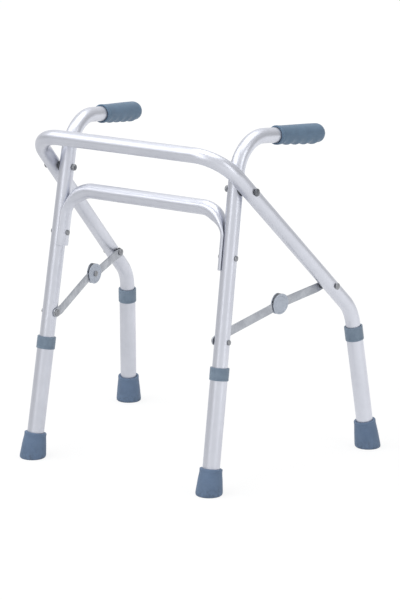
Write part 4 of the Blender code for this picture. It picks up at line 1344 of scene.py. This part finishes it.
@dataclass
class SideBraces:
    """The hinged brace on each side: two set-over bars, a round housing and the bolts.

    Each head, and the cap, is its radius and height. The wall is its first and last angle.
    """

    front_height: float = 0.2465
    rear_height: float = 0.2990
    centre: Array = spot_at(0.0, -0.0014, 0.2830)
    thickness: float = 0.0020
    width: float = 0.0160
    rear_drop: float = 0.0016
    set_over: float = 0.0070
    front_eye_x: float = 0.1612
    front_hinge_x: float = 0.1892
    rear_hinge_x: float = 0.1915
    rear_eye_x: float = 0.2094
    front_flat: float = 0.0175
    rear_flat: float = 0.0090
    end_flat: float = 0.0090
    edge_r: float = 0.0006
    drum_r: float = 0.0175
    drum_inner_x: float = 0.1863
    drum_outer_x: float = 0.1957
    drum_slant: float = 0.194
    drum_plate: float = 0.0016
    wall: Pair = (radians(31.0), radians(149.0))
    shank_r: float = 0.0025
    front_head: Pair = (0.0044, 0.0026)
    rear_head: Pair = (0.0056, 0.0036)
    cap: Pair = (0.0060, 0.0031)
    cap_bore_share: float = 0.6
    hinge_head: Pair = (0.0050, 0.0032)
    hinge_stop_x: float = 0.1936
    spacer_r: float = 0.0077
    spacer_hole_r: float = 0.0030

    def eyes(self) -> tuple[Array, Array]:
        """Front and rear eye on the right leg and the right arm."""
        return (LAYOUT.at_height(LAYOUT.leg, self.front_height),
                LAYOUT.at_height(LAYOUT.arm, self.rear_height))

    def bar_pose(self, side: Side, eye: Array) -> tuple[Pose, float]:
        """A pose in the hinge, with X along a bar and Y above it, and the way to its eye.

        Args:
            side: The walker's side.
            eye: The eye on the leg or the arm.

        Returns:
            The pose and the length.
        """
        line = eye * (Y_AXIS + Z_AXIS) - self.centre
        along = unit(line)
        up = np.array([0.0, -along[2], along[1]])
        return Pose(self.centre, along, up, side.out), float(np.linalg.norm(line))

    def sideways(self, distance: Array, length: float, flat: float) -> Array:
        """Share of a bar's sideways set, straight between two eased bends.

        Args:
            distance: Distances from the hinge.
            length: Distance between the bar's eyes.
            flat: Length that stays upright at the hinge.

        Returns:
            Shares from 0 to 1.
        """
        first, last = flat, length - self.end_flat - self.set_over

        def travel(past: Array) -> Array:
            """Travel with a slope of 1 that is eased in over one bend."""
            held = np.clip(past, 0.0, self.set_over)
            return held ** 2 / (2.0 * self.set_over) + np.maximum(0.0, past - self.set_over)

        return (travel(distance - first) - travel(distance - last)) / (last - first)

    def bar_shell(self, side: Side, eye: Array, set_x: Pair, drop: float, flat: float) -> Shell:
        """A flat bar with round ends, set over so that both ends stay upright.

        Each ring is a rectangle with rounded corners. Towards an end its half width follows a
        half circle, and in the last half millimetre its thickness is rounded off too.

        Args:
            side: The walker's side.
            eye: The eye on the leg or the arm. The other eye is in the hinge.
            set_x: X of the bar's middle in the hinge and at the eye.
            drop: How far the bar's middle lies below the line of its eyes.
            flat: Length that stays upright next to the hinge.

        Returns:
            The bar's surface.
        """
        pose, length = self.bar_pose(side, eye)
        half, edge, thin = 0.5 * self.width, self.edge_r, 0.5 * self.thickness
        turn = np.radians(np.concatenate([[0.0, 4.0, 8.0, 12.0], np.linspace(18.0, 90.0, 11)]))
        middle = np.linspace(0.0, length, 60)[1:-1]
        place = np.concatenate([-half * np.cos(turn), middle, length + half * np.cos(turn[::-1])])
        widths = np.concatenate([half * np.sin(turn), np.full_like(middle, half),
                                 half * np.sin(turn[::-1])])
        dip = np.clip(edge - np.minimum(place + half, length + half - place), 0.0, edge)
        thins = thin - edge + np.sqrt(edge ** 2 - dip ** 2)
        corner = (np.radians([0.0, 30.0, 60.0, 90.0]) + np.arange(4)[:, None] * pi / 2.0).ravel()
        soft_w, soft_t = (np.minimum(edge, size)[:, None] for size in (widths, thins))
        v = np.repeat([1.0, -1.0, -1.0, 1.0], 4) * (widths[:, None] - soft_w) + soft_w * np.cos(corner)
        w = np.repeat([1.0, 1.0, -1.0, -1.0], 4) * (thins[:, None] - soft_t) + soft_t * np.sin(corner)
        x = set_x[0] + (set_x[1] - set_x[0]) * self.sideways(place, length, flat)
        grid = np.stack([place[:, None] + 0.0 * v, v - drop, w + x[:, None]], axis=-1)
        return Shell().flat_ended(pose.place(grid), -2)

    def drum_shell(self, side: Side) -> Shell:
        """The housing: upright inner disc, slanting outer disc and a wall over the top, painted dark as
        shade.

        A disc's point at an angle and radius lies r cos a along the rear bar and r sin a above
        it, and its X is the plane's plus the slant times r cos a.

        Args:
            side: The walker's side.

        Returns:
            The housing's surface.
        """
        pose, _ = self.bar_pose(side, self.eyes()[1])
        shell = Shell()
        a = round_angles(96)
        r, o, p, i = self.drum_r, self.drum_outer_x, self.drum_plate, self.drum_inner_x
        discs = (
            ([(0.0003, o - p), (r, o - p), (r, o), (0.0148, o), (0.0144, o - 0.0005),
              (0.0132, o - 0.0005), (0.0128, o), (0.0066, o), (0.0062, o + 0.0003),
              (0.0003, o + 0.0003)], self.drum_slant),
            ([(0.0003, i), (0.0128, i), (0.0132, i + 0.0004), (0.0144, i + 0.0004),
              (0.0148, i), (r, i), (r, i + p), (0.0003, i + p)], 0.0))
        for corners, slant in discs:
            profile = rounded(corners, 0.0006)
            radius, plane = profile[:, :1], profile[:, 1:]
            grid = pose.turn(radius, a, plane + slant * (radius * np.cos(a)))
            shell.capped(grid, pose.on_z(profile[0, 1]), pose.on_z(profile[-1, 1]))
        plain = len(shell.faces)
        a = np.linspace(self.wall[0], self.wall[1], 40)[:, None]
        radius = np.array([r - 0.0002, r - 0.0002, r - p, r - p])
        low, high = i + 0.5 * p, o - 0.5 * p + self.drum_slant * (radius * np.cos(a))
        shell.flat_ended(pose.turn(radius, a, low + (high - low) * np.array([0.0, 1.0, 1.0, 0.0])))
        # The wall's faces are marked for painted shade.
        shell.painted_shade = [0.0] * plain + [1.0] * (len(shell.faces) - plain)
        return shell

    def build_bars(self, bench: Bench, side: Side) -> None:
        """Builds both bars and the housing of one side.

        Args:
            bench: Fits the pieces.
            side: The walker's side.
        """
        leg, arm = self.eyes()
        front = self.bar_shell(side, leg, (self.front_hinge_x, self.front_eye_x), 0.0,
                               self.front_flat)
        bench.fit(front, Finish.BRACE, "front_link" + side.tag, "front_bar", "brace_front_link",
                  side.tag)
        rear = self.bar_shell(side, arm, (self.rear_hinge_x, self.rear_eye_x), self.rear_drop,
                              self.rear_flat)
        bench.fit(rear, Finish.BRACE, "rear_link" + side.tag, "rear_bar", "brace_rear_link",
                  side.tag)
        bench.fit(self.drum_shell(side), Finish.DRUM, "rear_link" + side.tag, "hinge_housing",
                  "hinge_drum", side.tag)

    def build_hardware(self, bench: Bench, side: Side) -> None:
        """Builds the bolts, the cap nut, the spacer and the rear bar's cap of one side.

        Args:
            bench: Fits the pieces.
            side: The walker's side.
        """
        leg, arm = self.eyes()
        nut_x = self.front_eye_x - 0.5 * self.thickness - FIT_GAP
        bore = self.cap_bore_share * self.cap[1]
        shank_x = nut_x - bore + FIT_GAP
        face_x = self.rear_eye_x + 0.5 * self.thickness
        start_x = face_x + FIT_GAP
        hinge_length = self.hinge_stop_x - self.drum_inner_x + FIT_GAP
        front_length = leg[0] + LAYOUT.seat(LAYOUT.leg, self.front_head[0]) - shank_x
        rear_length = arm[0] + LAYOUT.seat(LAYOUT.arm, self.rear_head[0]) - start_x
        nut = headed(self.shank_r + FIT_GAP, self.cap, 0.0)
        nut[:2] = [(0.0, bore), (self.shank_r + FIT_GAP, bore)]
        link = "rear_link" + side.tag
        pieces = (
            ("hinge_pin", "hinge_bolt", link, headed(self.shank_r, self.hinge_head, hinge_length),
             side.level_pose(self.hinge_stop_x, self.centre, -1.0)),
            ("front_bar_bolt", "brace_front_bolt", "front_frame",
             headed(self.shank_r, self.front_head, front_length), side.level_pose(shank_x, leg)),
            ("front_bar_cap_nut", "brace_front_nut", "front_frame", nut,
             side.level_pose(nut_x, leg, -1.0)),
            ("rear_bar_bolt", "brace_rear_bolt", "rear_frame",
             headed(self.shank_r, self.rear_head, rear_length), side.level_pose(start_x, arm)),
            ("rear_bar_cap", "brace_rear_nut", link,
             headed(self.shank_r, self.cap, self.thickness + FIT_GAP),
             side.level_pose(face_x, arm, -1.0)))
        for name, node, body, profile, pose in pieces:
            bench.fit(Shell().turned(profile, pose), Finish.PLATED, body, name, node, side.tag)
        long, hole = arm[0] - LAYOUT.seat(LAYOUT.arm, self.spacer_r) - start_x, self.spacer_hole_r
        ring = rounded([(hole, 0.5 * long), (hole, 0.0), (self.spacer_r, 0.0),
                        (self.spacer_r, long), (hole, long), (hole, 0.5 * long)], 0.0005)
        bench.fit(Shell().turned(ring[:-1], side.level_pose(start_x, arm), 56), Finish.BLACK,
                  "rear_frame", "rear_bar_spacer", "brace_rear_spacer", side.tag)

    def build(self, bench: Bench) -> None:
        """Builds both braces.

        Args:
            bench: Fits the pieces.
        """
        for side in Side:
            self.build_bars(bench, side)
            self.build_hardware(bench, side)


@dataclass
class LowerLegs:
    """The sliding lower legs: perforated sleeve, collar, rubber tip and snap stud.

    The heights of an end are those of the collar's top, of the collar and of the tip. The
    scallop is its rise, half width and reach up the collar, and the sole's recess its radius
    and depth. The leaf is its place off the axis, thickness and width, and its reach is how
    far it goes below and above the stud.
    """

    sleeve_r: float = 0.0143
    sleeve_bore_r: float = 0.0131
    sleeve_start: float = 0.0142
    rim_edge: float = 0.0004
    hole_edge: float = 0.0003
    hole_r: float = 0.0036
    hole_height: float = 0.0850
    hole_pitch: float = 0.0250
    holes: int = 5
    collar_r: float = 0.0159
    collar_lip: float = 0.0040
    scallop: Triple = (0.0019, 0.0052, 0.0060)
    tip_base_r: float = 0.0224
    tip_top_r: float = 0.0188
    tip_bore_r: float = 0.0147
    tip_floor: float = 0.0122
    sole_recess: Pair = (0.0110, 0.0022)
    stud_r: float = 0.0031
    leaf: Triple = (0.0100, 0.0008, 0.0080)
    leaf_reach: Pair = (0.0125, 0.0100)
    columns: int = 64
    window: int = 4
    heights: dict[LegEnd, Triple] = field(default_factory=lambda: {
        LegEnd.FRONT: (0.2084, 0.0210, 0.0430), LegEnd.REAR: (0.2203, 0.0243, 0.0490)})

    def sleeve_shell(self, pose: Pose, top: float) -> Shell:
        """The sleeve: two cylinders of cells with round stud holes, joined at rims and holes.

        The cells of a square window round each hole are left out. Rings between the window's
        edge and the hole's circle fill it, and a short wall joins both cylinders there.

        Args:
            pose: Stands in the leg's foot.
            top: Height of the sleeve's upper rim.

        Returns:
            The sleeve's surface.
        """
        n, outer, inner, edge = self.window, self.sleeve_r, self.sleeve_bore_r, self.rim_edge
        pitch = 2.0 * pi / self.columns
        angles = -pi + np.arange(self.columns) * pitch
        side = n * pitch * outer
        centres = self.hole_height + self.hole_pitch * np.arange(self.holes)
        levels = np.concatenate(
            [np.linspace(self.sleeve_start + edge, centres[0] - side, 24)[:-1]]
            + [centre + np.linspace(-side, side, 2 * n + 1) for centre in centres]
            + [np.linspace(centres[-1] + side, top - edge, 6)[1:]])
        keep = np.ones((len(levels) - 1, self.columns), dtype=bool)
        first = self.columns // 2 - n
        for centre in centres:
            rows = np.abs(0.5 * (levels[:-1] + levels[1:]) - centre) < side
            keep[np.ix_(rows, range(first, first + 2 * n))] = False
        shell = Shell()
        for radius in (outer, inner):
            shell.sheet(pose.turn(radius, angles, levels[:, None]), keep)
        for level, end in ((top - edge, top), (self.sleeve_start + edge, self.sleeve_start)):
            rim = np.array([(outer, level), (outer - edge, end), (inner + 0.0001, end),
                            (inner, level)])
            shell.sheet(pose.turn(rim[:, :1], angles, rim[:, 1:]))
        line = np.arange(8 * n) - 4 * n
        along, up = (np.clip(np.abs((line + start) % (8 * n) - 4 * n) - 2 * n, -n, n)
                     for start in (n, -n))
        square = np.stack([along * pitch * outer, up * side / n])
        phi = np.arctan2(square[1], square[0])
        circle = np.stack([np.cos(phi), np.sin(phi)])
        share = np.array([0.0, 0.5, 1.0])[:, None, None]
        for centre in centres:
            rings = []
            for radius, hole in ((outer, self.hole_r + self.hole_edge), (inner, self.hole_r)):
                spot = square + (hole * circle - square) * share
                rings.append(pose.turn(radius, spot[:, 0] / outer, centre + spot[:, 1]))
                shell.sheet(rings[-1])
            s, z = self.hole_r * circle
            shallow = pose.turn(outer - self.hole_edge, s / outer, centre + z)
            shell.sheet(np.stack([rings[0][-1], shallow, rings[1][-1]]))
        return shell

    def collar_shell(self, pose: Pose, top: float, height: float) -> Shell:
        """The collar, its foot raised over the row of holes so that the stud stays free.

        Its profile has soft edges and a fine groove near the foot, and is spun round the leg.
        Within the scallop's reach of the foot each point rises by the scallop's height times
        exp(-(arc / width)^4), arc being its way round from the rear, and less the higher it lies.

        Args:
            pose: Stands in the leg's foot.
            top: Height of the collar's top.
            height: Height of the collar itself.

        Returns:
            The collar's surface.
        """
        rim, bore, r = self.sleeve_r + FIT_GAP, self.sleeve_bore_r, self.collar_r
        foot, lip = top - height, top - self.collar_lip
        corners = [(rim, foot + 0.002), (rim, foot), (r - 0.0001, foot), (r, foot + 0.0032),
                   (r - 0.0004, foot + 0.0035), (r - 0.0004, foot + 0.0041), (r, foot + 0.0044),
                   (r, top), (bore, top), (bore, lip), (rim, lip), (rim, foot + 0.002)]
        rows = rounded(corners, 0.0011, 5)[:-1]
        rise, width, reach = self.scallop
        a = round_angles(96)
        arc = ((a + pi) % (2.0 * pi) - pi) * r
        low = np.clip(1.0 - (rows[:, 1:] - top + height) / reach, 0.0, 1.0)
        lift = rise * low * np.exp(-(arc / width) ** 4)
        return Shell().ring(pose.turn(rows[:, :1], a, rows[:, 1:] + lift))

    def tip_shell(self, end: LegEnd, side: Side) -> Shell:
        """The tip: level sole with rings of tread, flared side, lip at the mouth, and bore.

        Each ring stands square to a direction that turns from level to the leg's, eased over
        the lowest six tenths of the height. Its centre climbs the leg's line.

        Args:
            end: Front or rear.
            side: The walker's side.

        Returns:
            The tip's surface.
        """
        foot, above = LAYOUT.leg_line(end, side)
        up, height = unit(above - foot), self.heights[end][2]
        base, top, bore = self.tip_base_r, self.tip_top_r, self.tip_bore_r
        slope = (top - base) / (height - 0.0060)
        recess_r, recess = self.sole_recess
        tread = [(0.0, recess), (recess_r - 0.0004, recess), (recess_r, 0.0), (0.0129, 0.0),
                 (0.0133, 0.0008), (0.0145, 0.0008), (0.0149, 0.0), (0.0166, 0.0),
                 (0.0170, 0.0008), (0.0182, 0.0008), (0.0186, 0.0), (base - 0.0015, 0.0)]
        flank = [(base - 0.0004, 0.0010), (base, 0.0034), (base - 0.0002, 0.0066),
                 (base + 0.0060 * slope, 0.0100), (base + 0.0100 * slope, 0.0140),
                 (base + 0.0210 * slope, 0.0250), (top + 0.0002, height - 0.0085),
                 (top - 0.0001, height - 0.0058), (top, height - 0.0050),
                 (top + 0.0001, height - 0.0012), (top - 0.0006, height), (bore + 0.0005, height),
                 (bore, height - 0.0006), (bore, self.tip_floor)]
        sole = rounded(tread, 0.0003, 3)[1:]
        body = rounded([tread[-1]] + flank, 0.0010, 6)[1:]
        radii, station = np.concatenate([sole, body]).T[..., None]
        on_body = np.repeat([0.0, 1.0], [len(sole), len(body)])[:, None]
        turn = ease(station / (0.6 * height)) * on_body
        turn[-1] = 1.0
        normal = Z_AXIS * (1.0 - turn) + up * turn
        normal = normal / np.linalg.norm(normal, axis=1, keepdims=True)
        first = Y_AXIS - normal * (normal @ Y_AXIS)[:, None]
        first = first / np.linalg.norm(first, axis=1, keepdims=True)
        a = round_angles(80)[:, None]
        centre = foot + (on_body * up + (1.0 - on_body) * Z_AXIS) * station
        offset = first[:, None] * np.cos(a) + np.cross(normal, first)[:, None] * np.sin(a)
        return Shell().capped(centre[:, None] + offset * radii[..., None], centre[0], centre[-1])

    def stud_shell(self, pose: Pose) -> Shell:
        """The domed stud and the free leaf that carries it, as two joined forms.

        Args:
            pose: Stands in the leg's foot.

        Returns:
            The surface of both.
        """
        x, thin, wide = self.leaf
        below, above = self.leaf_reach
        profile = rounded([(0.0, 0.0), (self.stud_r, 0.0), (self.stud_r, 0.0056),
                           (0.0022, 0.0070), (0.0, 0.0072)], 0.0010, 6)
        profile[:, 1] = np.minimum(profile[:, 1], 0.0068 + 0.5 * thin)
        foot = pose.place(np.array([x - 0.5 * thin, 0.0, self.hole_height]))
        shell = Shell().turned(profile, Pose.on_axis(foot, pose.x, pose.z))
        loop = np.array([(x - thin, -0.5 * wide), (x, -0.5 * wide), (x, 0.5 * wide),
                         (x - thin, 0.5 * wide)])
        levels = np.linspace(self.hole_height - below, self.hole_height + above, 9)
        grid = np.stack([np.concatenate([loop, np.full((4, 1), level)], axis=1)
                         for level in levels])
        return shell.flat_ended(pose.place(grid))

    def build(self, bench: Bench, nodes: dict[str, bpy.types.Object]) -> None:
        """Builds all four lower legs.

        Args:
            bench: Fits the pieces.
            nodes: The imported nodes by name.
        """
        for end, side in product(LegEnd, Side):
            tag = f"_{end.value}{side.tag}"
            body = "lower_leg" + tag
            pose = LAYOUT.leg_pose(end, side)
            top, height, _ = self.heights[end]
            bench.fit(self.sleeve_shell(pose, top - self.collar_lip - FIT_GAP), Finish.ALUMINIUM,
                      body, "sliding_sleeve", "leg_sleeve", tag)
            bench.fit(self.collar_shell(pose, top, height), Finish.SLATE, body, "sleeve_collar",
                      "leg_collar", tag, SOFT_CREASE)
            bench.fit(self.tip_shell(end, side), Finish.TIP, body, "flared_tip", "rubber_tip",
                      tag, SOFT_CREASE)
            bench.fit(self.stud_shell(pose), Finish.SPRING, "snap_button" + tag,
                      "snap_button_stud", "snap_stud", tag)
            bench.dress(nodes["tip_washer" + tag], Finish.PLATED)
            bench.dress(nodes["snap_clip" + tag], Finish.SPRING)


# Studio

def stand(name: str, data: bpy.types.ID, matrix: Matrix | None = None) -> bpy.types.Object:
    """Adds an object with some data to the scene.

    Args:
        name: Name of the object.
        data: Its mesh, lamp or camera.
        matrix: Where it stands, if not at the origin.

    Returns:
        The new object.
    """
    made = bpy.data.objects.new(name, data)
    if matrix is not None:
        made.matrix_world = matrix
    bpy.context.scene.collection.objects.link(made)
    return made


def facing(away: Vector) -> Matrix:
    """A turn whose Z points away from what a camera or lamp looks at."""
    return away.to_track_quat("Z", "Y").to_matrix().to_4x4()


@dataclass(frozen=True)
class StudioCamera:
    """The camera, placed from the angles and focal length that were fitted to the photograph."""

    azimuth: float = radians(34.25)
    elevation: float = radians(13.75)
    roll: float = radians(0.25)
    distance: float = 4.4428
    target: Triple = (0.06011, -0.0410, 0.27861)
    focal_pixels: float = 2657.89
    image_height: float = 600.0
    sensor: float = 36.0
    far_end: float = 30.0

    def build(self) -> None:
        """Adds the camera and makes it the scene's own."""
        data = bpy.data.cameras.new("studio_camera")
        data.sensor_fit = "VERTICAL"
        data.sensor_height = self.sensor
        data.lens = self.focal_pixels * self.sensor / self.image_height
        data.clip_end = self.far_end
        away = Vector((sin(self.azimuth) * cos(self.elevation),
                       -cos(self.azimuth) * cos(self.elevation), sin(self.elevation)))
        turn = facing(away) @ Matrix.Rotation(self.roll, 4, "Z")
        place = Matrix.Translation(Vector(self.target) + away * self.distance)
        bpy.context.scene.camera = stand("studio_camera", data, place @ turn)


@dataclass(frozen=True)
class SoftBox:
    """A large soft lamp that looks at the walker's middle."""

    name: str
    place: Triple
    size: Pair
    watts: float
    aim: Triple = (0.0, 0.0, 0.28)

    def build(self) -> None:
        """Adds the lamp."""
        lamp = bpy.data.lights.new(self.name, "AREA")
        lamp.shape = "RECTANGLE"
        lamp.size, lamp.size_y = self.size
        lamp.energy = self.watts
        away = Vector(self.place) - Vector(self.aim)
        stand(self.name, lamp, Matrix.Translation(self.place) @ facing(away))


@dataclass(frozen=True)
class Studio:
    """White sweep: plain pale floor, even pale world and soft boxes round the walker.

    The floor fades from its near to its far level between the two distances of the fade.
    """

    world_level: float = 0.46
    side_fall: float = 0.44
    across_view: Triple = (0.8266, 0.5628, 0.0)
    white: Colour = (1.0, 1.0, 1.0)
    floor_colour: Colour = (0.80, 0.80, 0.80)
    floor_half: float = 6.0
    floor_roughness: float = 0.9
    shown_share: float = 0.22
    near_level: float = 0.86
    far_level: float = 0.44
    fade: Pair = (0.4, 2.6)
    floor_fall: float = 0.18
    lean_reach: float = 0.9
    boxes: tuple[SoftBox, ...] = (
        SoftBox("left_box", (-0.06, -3.42, 1.75), (1.0, 2.4), 12.5),
        SoftBox("right_box", (3.19, -0.22, 1.35), (1.0, 2.4), 13.5),
        SoftBox("front_top_box", (-1.5, -1.65, 2.35), (3.6, 1.8), 30.0),
        SoftBox("top_box", (0.0, 0.2, 3.0), (2.6, 2.6), 31.0),
    )

    def _beside(self, graph: Graph, coordinates: Socket) -> Socket:
        """How far coordinates lie to the right of the view."""
        return graph.vectors("DOT_PRODUCT", coordinates, self.across_view, "Value")

    @staticmethod
    def _rays(graph: Graph) -> tuple[Socket, Socket]:
        """1 for glossy rays, and 1 for rays that show the background.

        Those are camera, glossy and transmission rays.

        Args:
            graph: Writes the nodes.

        Returns:
            Glossy rays, then rays that show the background.
        """
        path = graph.node("ShaderNodeLightPath").outputs
        seen = graph.maths("MAXIMUM", path["Is Camera Ray"], path["Is Glossy Ray"])
        return path["Is Glossy Ray"], graph.maths("MAXIMUM", seen, path["Is Transmission Ray"])

    def build_world(self) -> None:
        """World that lights evenly and shows white to camera, glossy and transmission rays.

        For glossy rays the white falls off a little to both sides of the studio, by the square
        of how far a direction points there, as it does beside a white sweep.
        """
        world = bpy.data.worlds.new("pale_studio")
        world.use_nodes = True
        graph = Graph(world.node_tree)
        glossy, shown = self._rays(graph)
        beside = self._beside(graph, graph.node("ShaderNodeTexCoord").outputs["Generated"])
        square = graph.maths("POWER", graph.maths("ABSOLUTE", beside), 2.0)
        fall = graph.times(graph.times(square, self.side_fall), glossy)
        level = graph.plus(self.world_level, shown, 1.0 - self.world_level)
        background = world.node_tree.nodes["Background"]
        graph.feed(background.inputs["Color"], self.white)
        graph.feed(background.inputs["Strength"], graph.maths("SUBTRACT", level, fall))
        bpy.context.scene.world = world

    def floor_material(self) -> bpy.types.Material:
        """Looks white where nothing shades it and keeps the walker's shadow.

        For glossy rays it is a little brighter on the studio's lit side than on the other.

        Returns:
            The floor's material.
        """
        made = bpy.data.materials.new("pale_floor")
        made.use_nodes = True
        graph = Graph(made.node_tree)
        glossy, shown = self._rays(graph)
        shader = made.node_tree.nodes["Principled BSDF"]
        for name, value in (("Base Color", self.floor_colour), ("Roughness", self.floor_roughness),
                            ("Specular IOR Level", 0.0)):
            graph.feed(shader.inputs[name], value)
        place = graph.node("ShaderNodeTexCoord").outputs["Object"]
        apart = graph.vectors("LENGTH", place, output="Value")
        dark = graph.spread(apart, *self.fade, self.shown_share * self.near_level,
                            self.shown_share * self.far_level)
        lean = graph.spread(self._beside(graph, place), -self.lean_reach, self.lean_reach,
                            self.floor_fall, -self.floor_fall)
        fall = graph.maths("ADD", dark, graph.times(lean, glossy))
        glow = graph.node("ShaderNodeEmission", {
            "Color": self.white, "Strength": graph.maths("SUBTRACT", 1.0, fall)})
        diffuse = graph.node("ShaderNodeBsdfDiffuse", {"Color": (self.shown_share,) * 3})
        pale = graph.node("ShaderNodeAddShader", {0: diffuse.outputs[0], 1: glow.outputs[0]})
        chosen = graph.node("ShaderNodeMixShader", {0: shown, 1: shader.outputs[0],
                                                    2: pale.outputs[0]})
        graph.feed(made.node_tree.nodes["Material Output"].inputs["Surface"], chosen.outputs[0])
        return made

    def build(self) -> None:
        """Builds world, floor and lamps, and sets the view."""
        self.build_world()
        mesh = bpy.data.meshes.new("studio_floor")
        h = self.floor_half
        mesh.from_pydata([(-h, -h, 0), (h, -h, 0), (h, h, 0), (-h, h, 0)], [], [(0, 1, 2, 3)])
        mesh.materials.append(self.floor_material())
        stand("studio_floor", mesh)
        for box in self.boxes:
            box.build()
        bpy.context.scene.view_settings.view_transform = "Standard"


def main() -> None:
    """Builds the studio and dresses the walker, one sub-assembly after the other."""
    logging.basicConfig(level=logging.INFO, format="%(message)s")
    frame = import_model()
    StudioCamera().build()
    Studio().build()
    bench = Bench()
    FrameTubes().build(bench)
    LowerCrossbar().build(bench)
    HandGrips().build(bench)
    FoldPivots().build(bench)
    SideBraces().build(bench)
    LowerLegs().build(bench, frame["nodes"])
    log.info("%d pieces, %d faces", len(bench.pieces), sum(bench.pieces.values()))


if __name__ == "__main__":
    main()
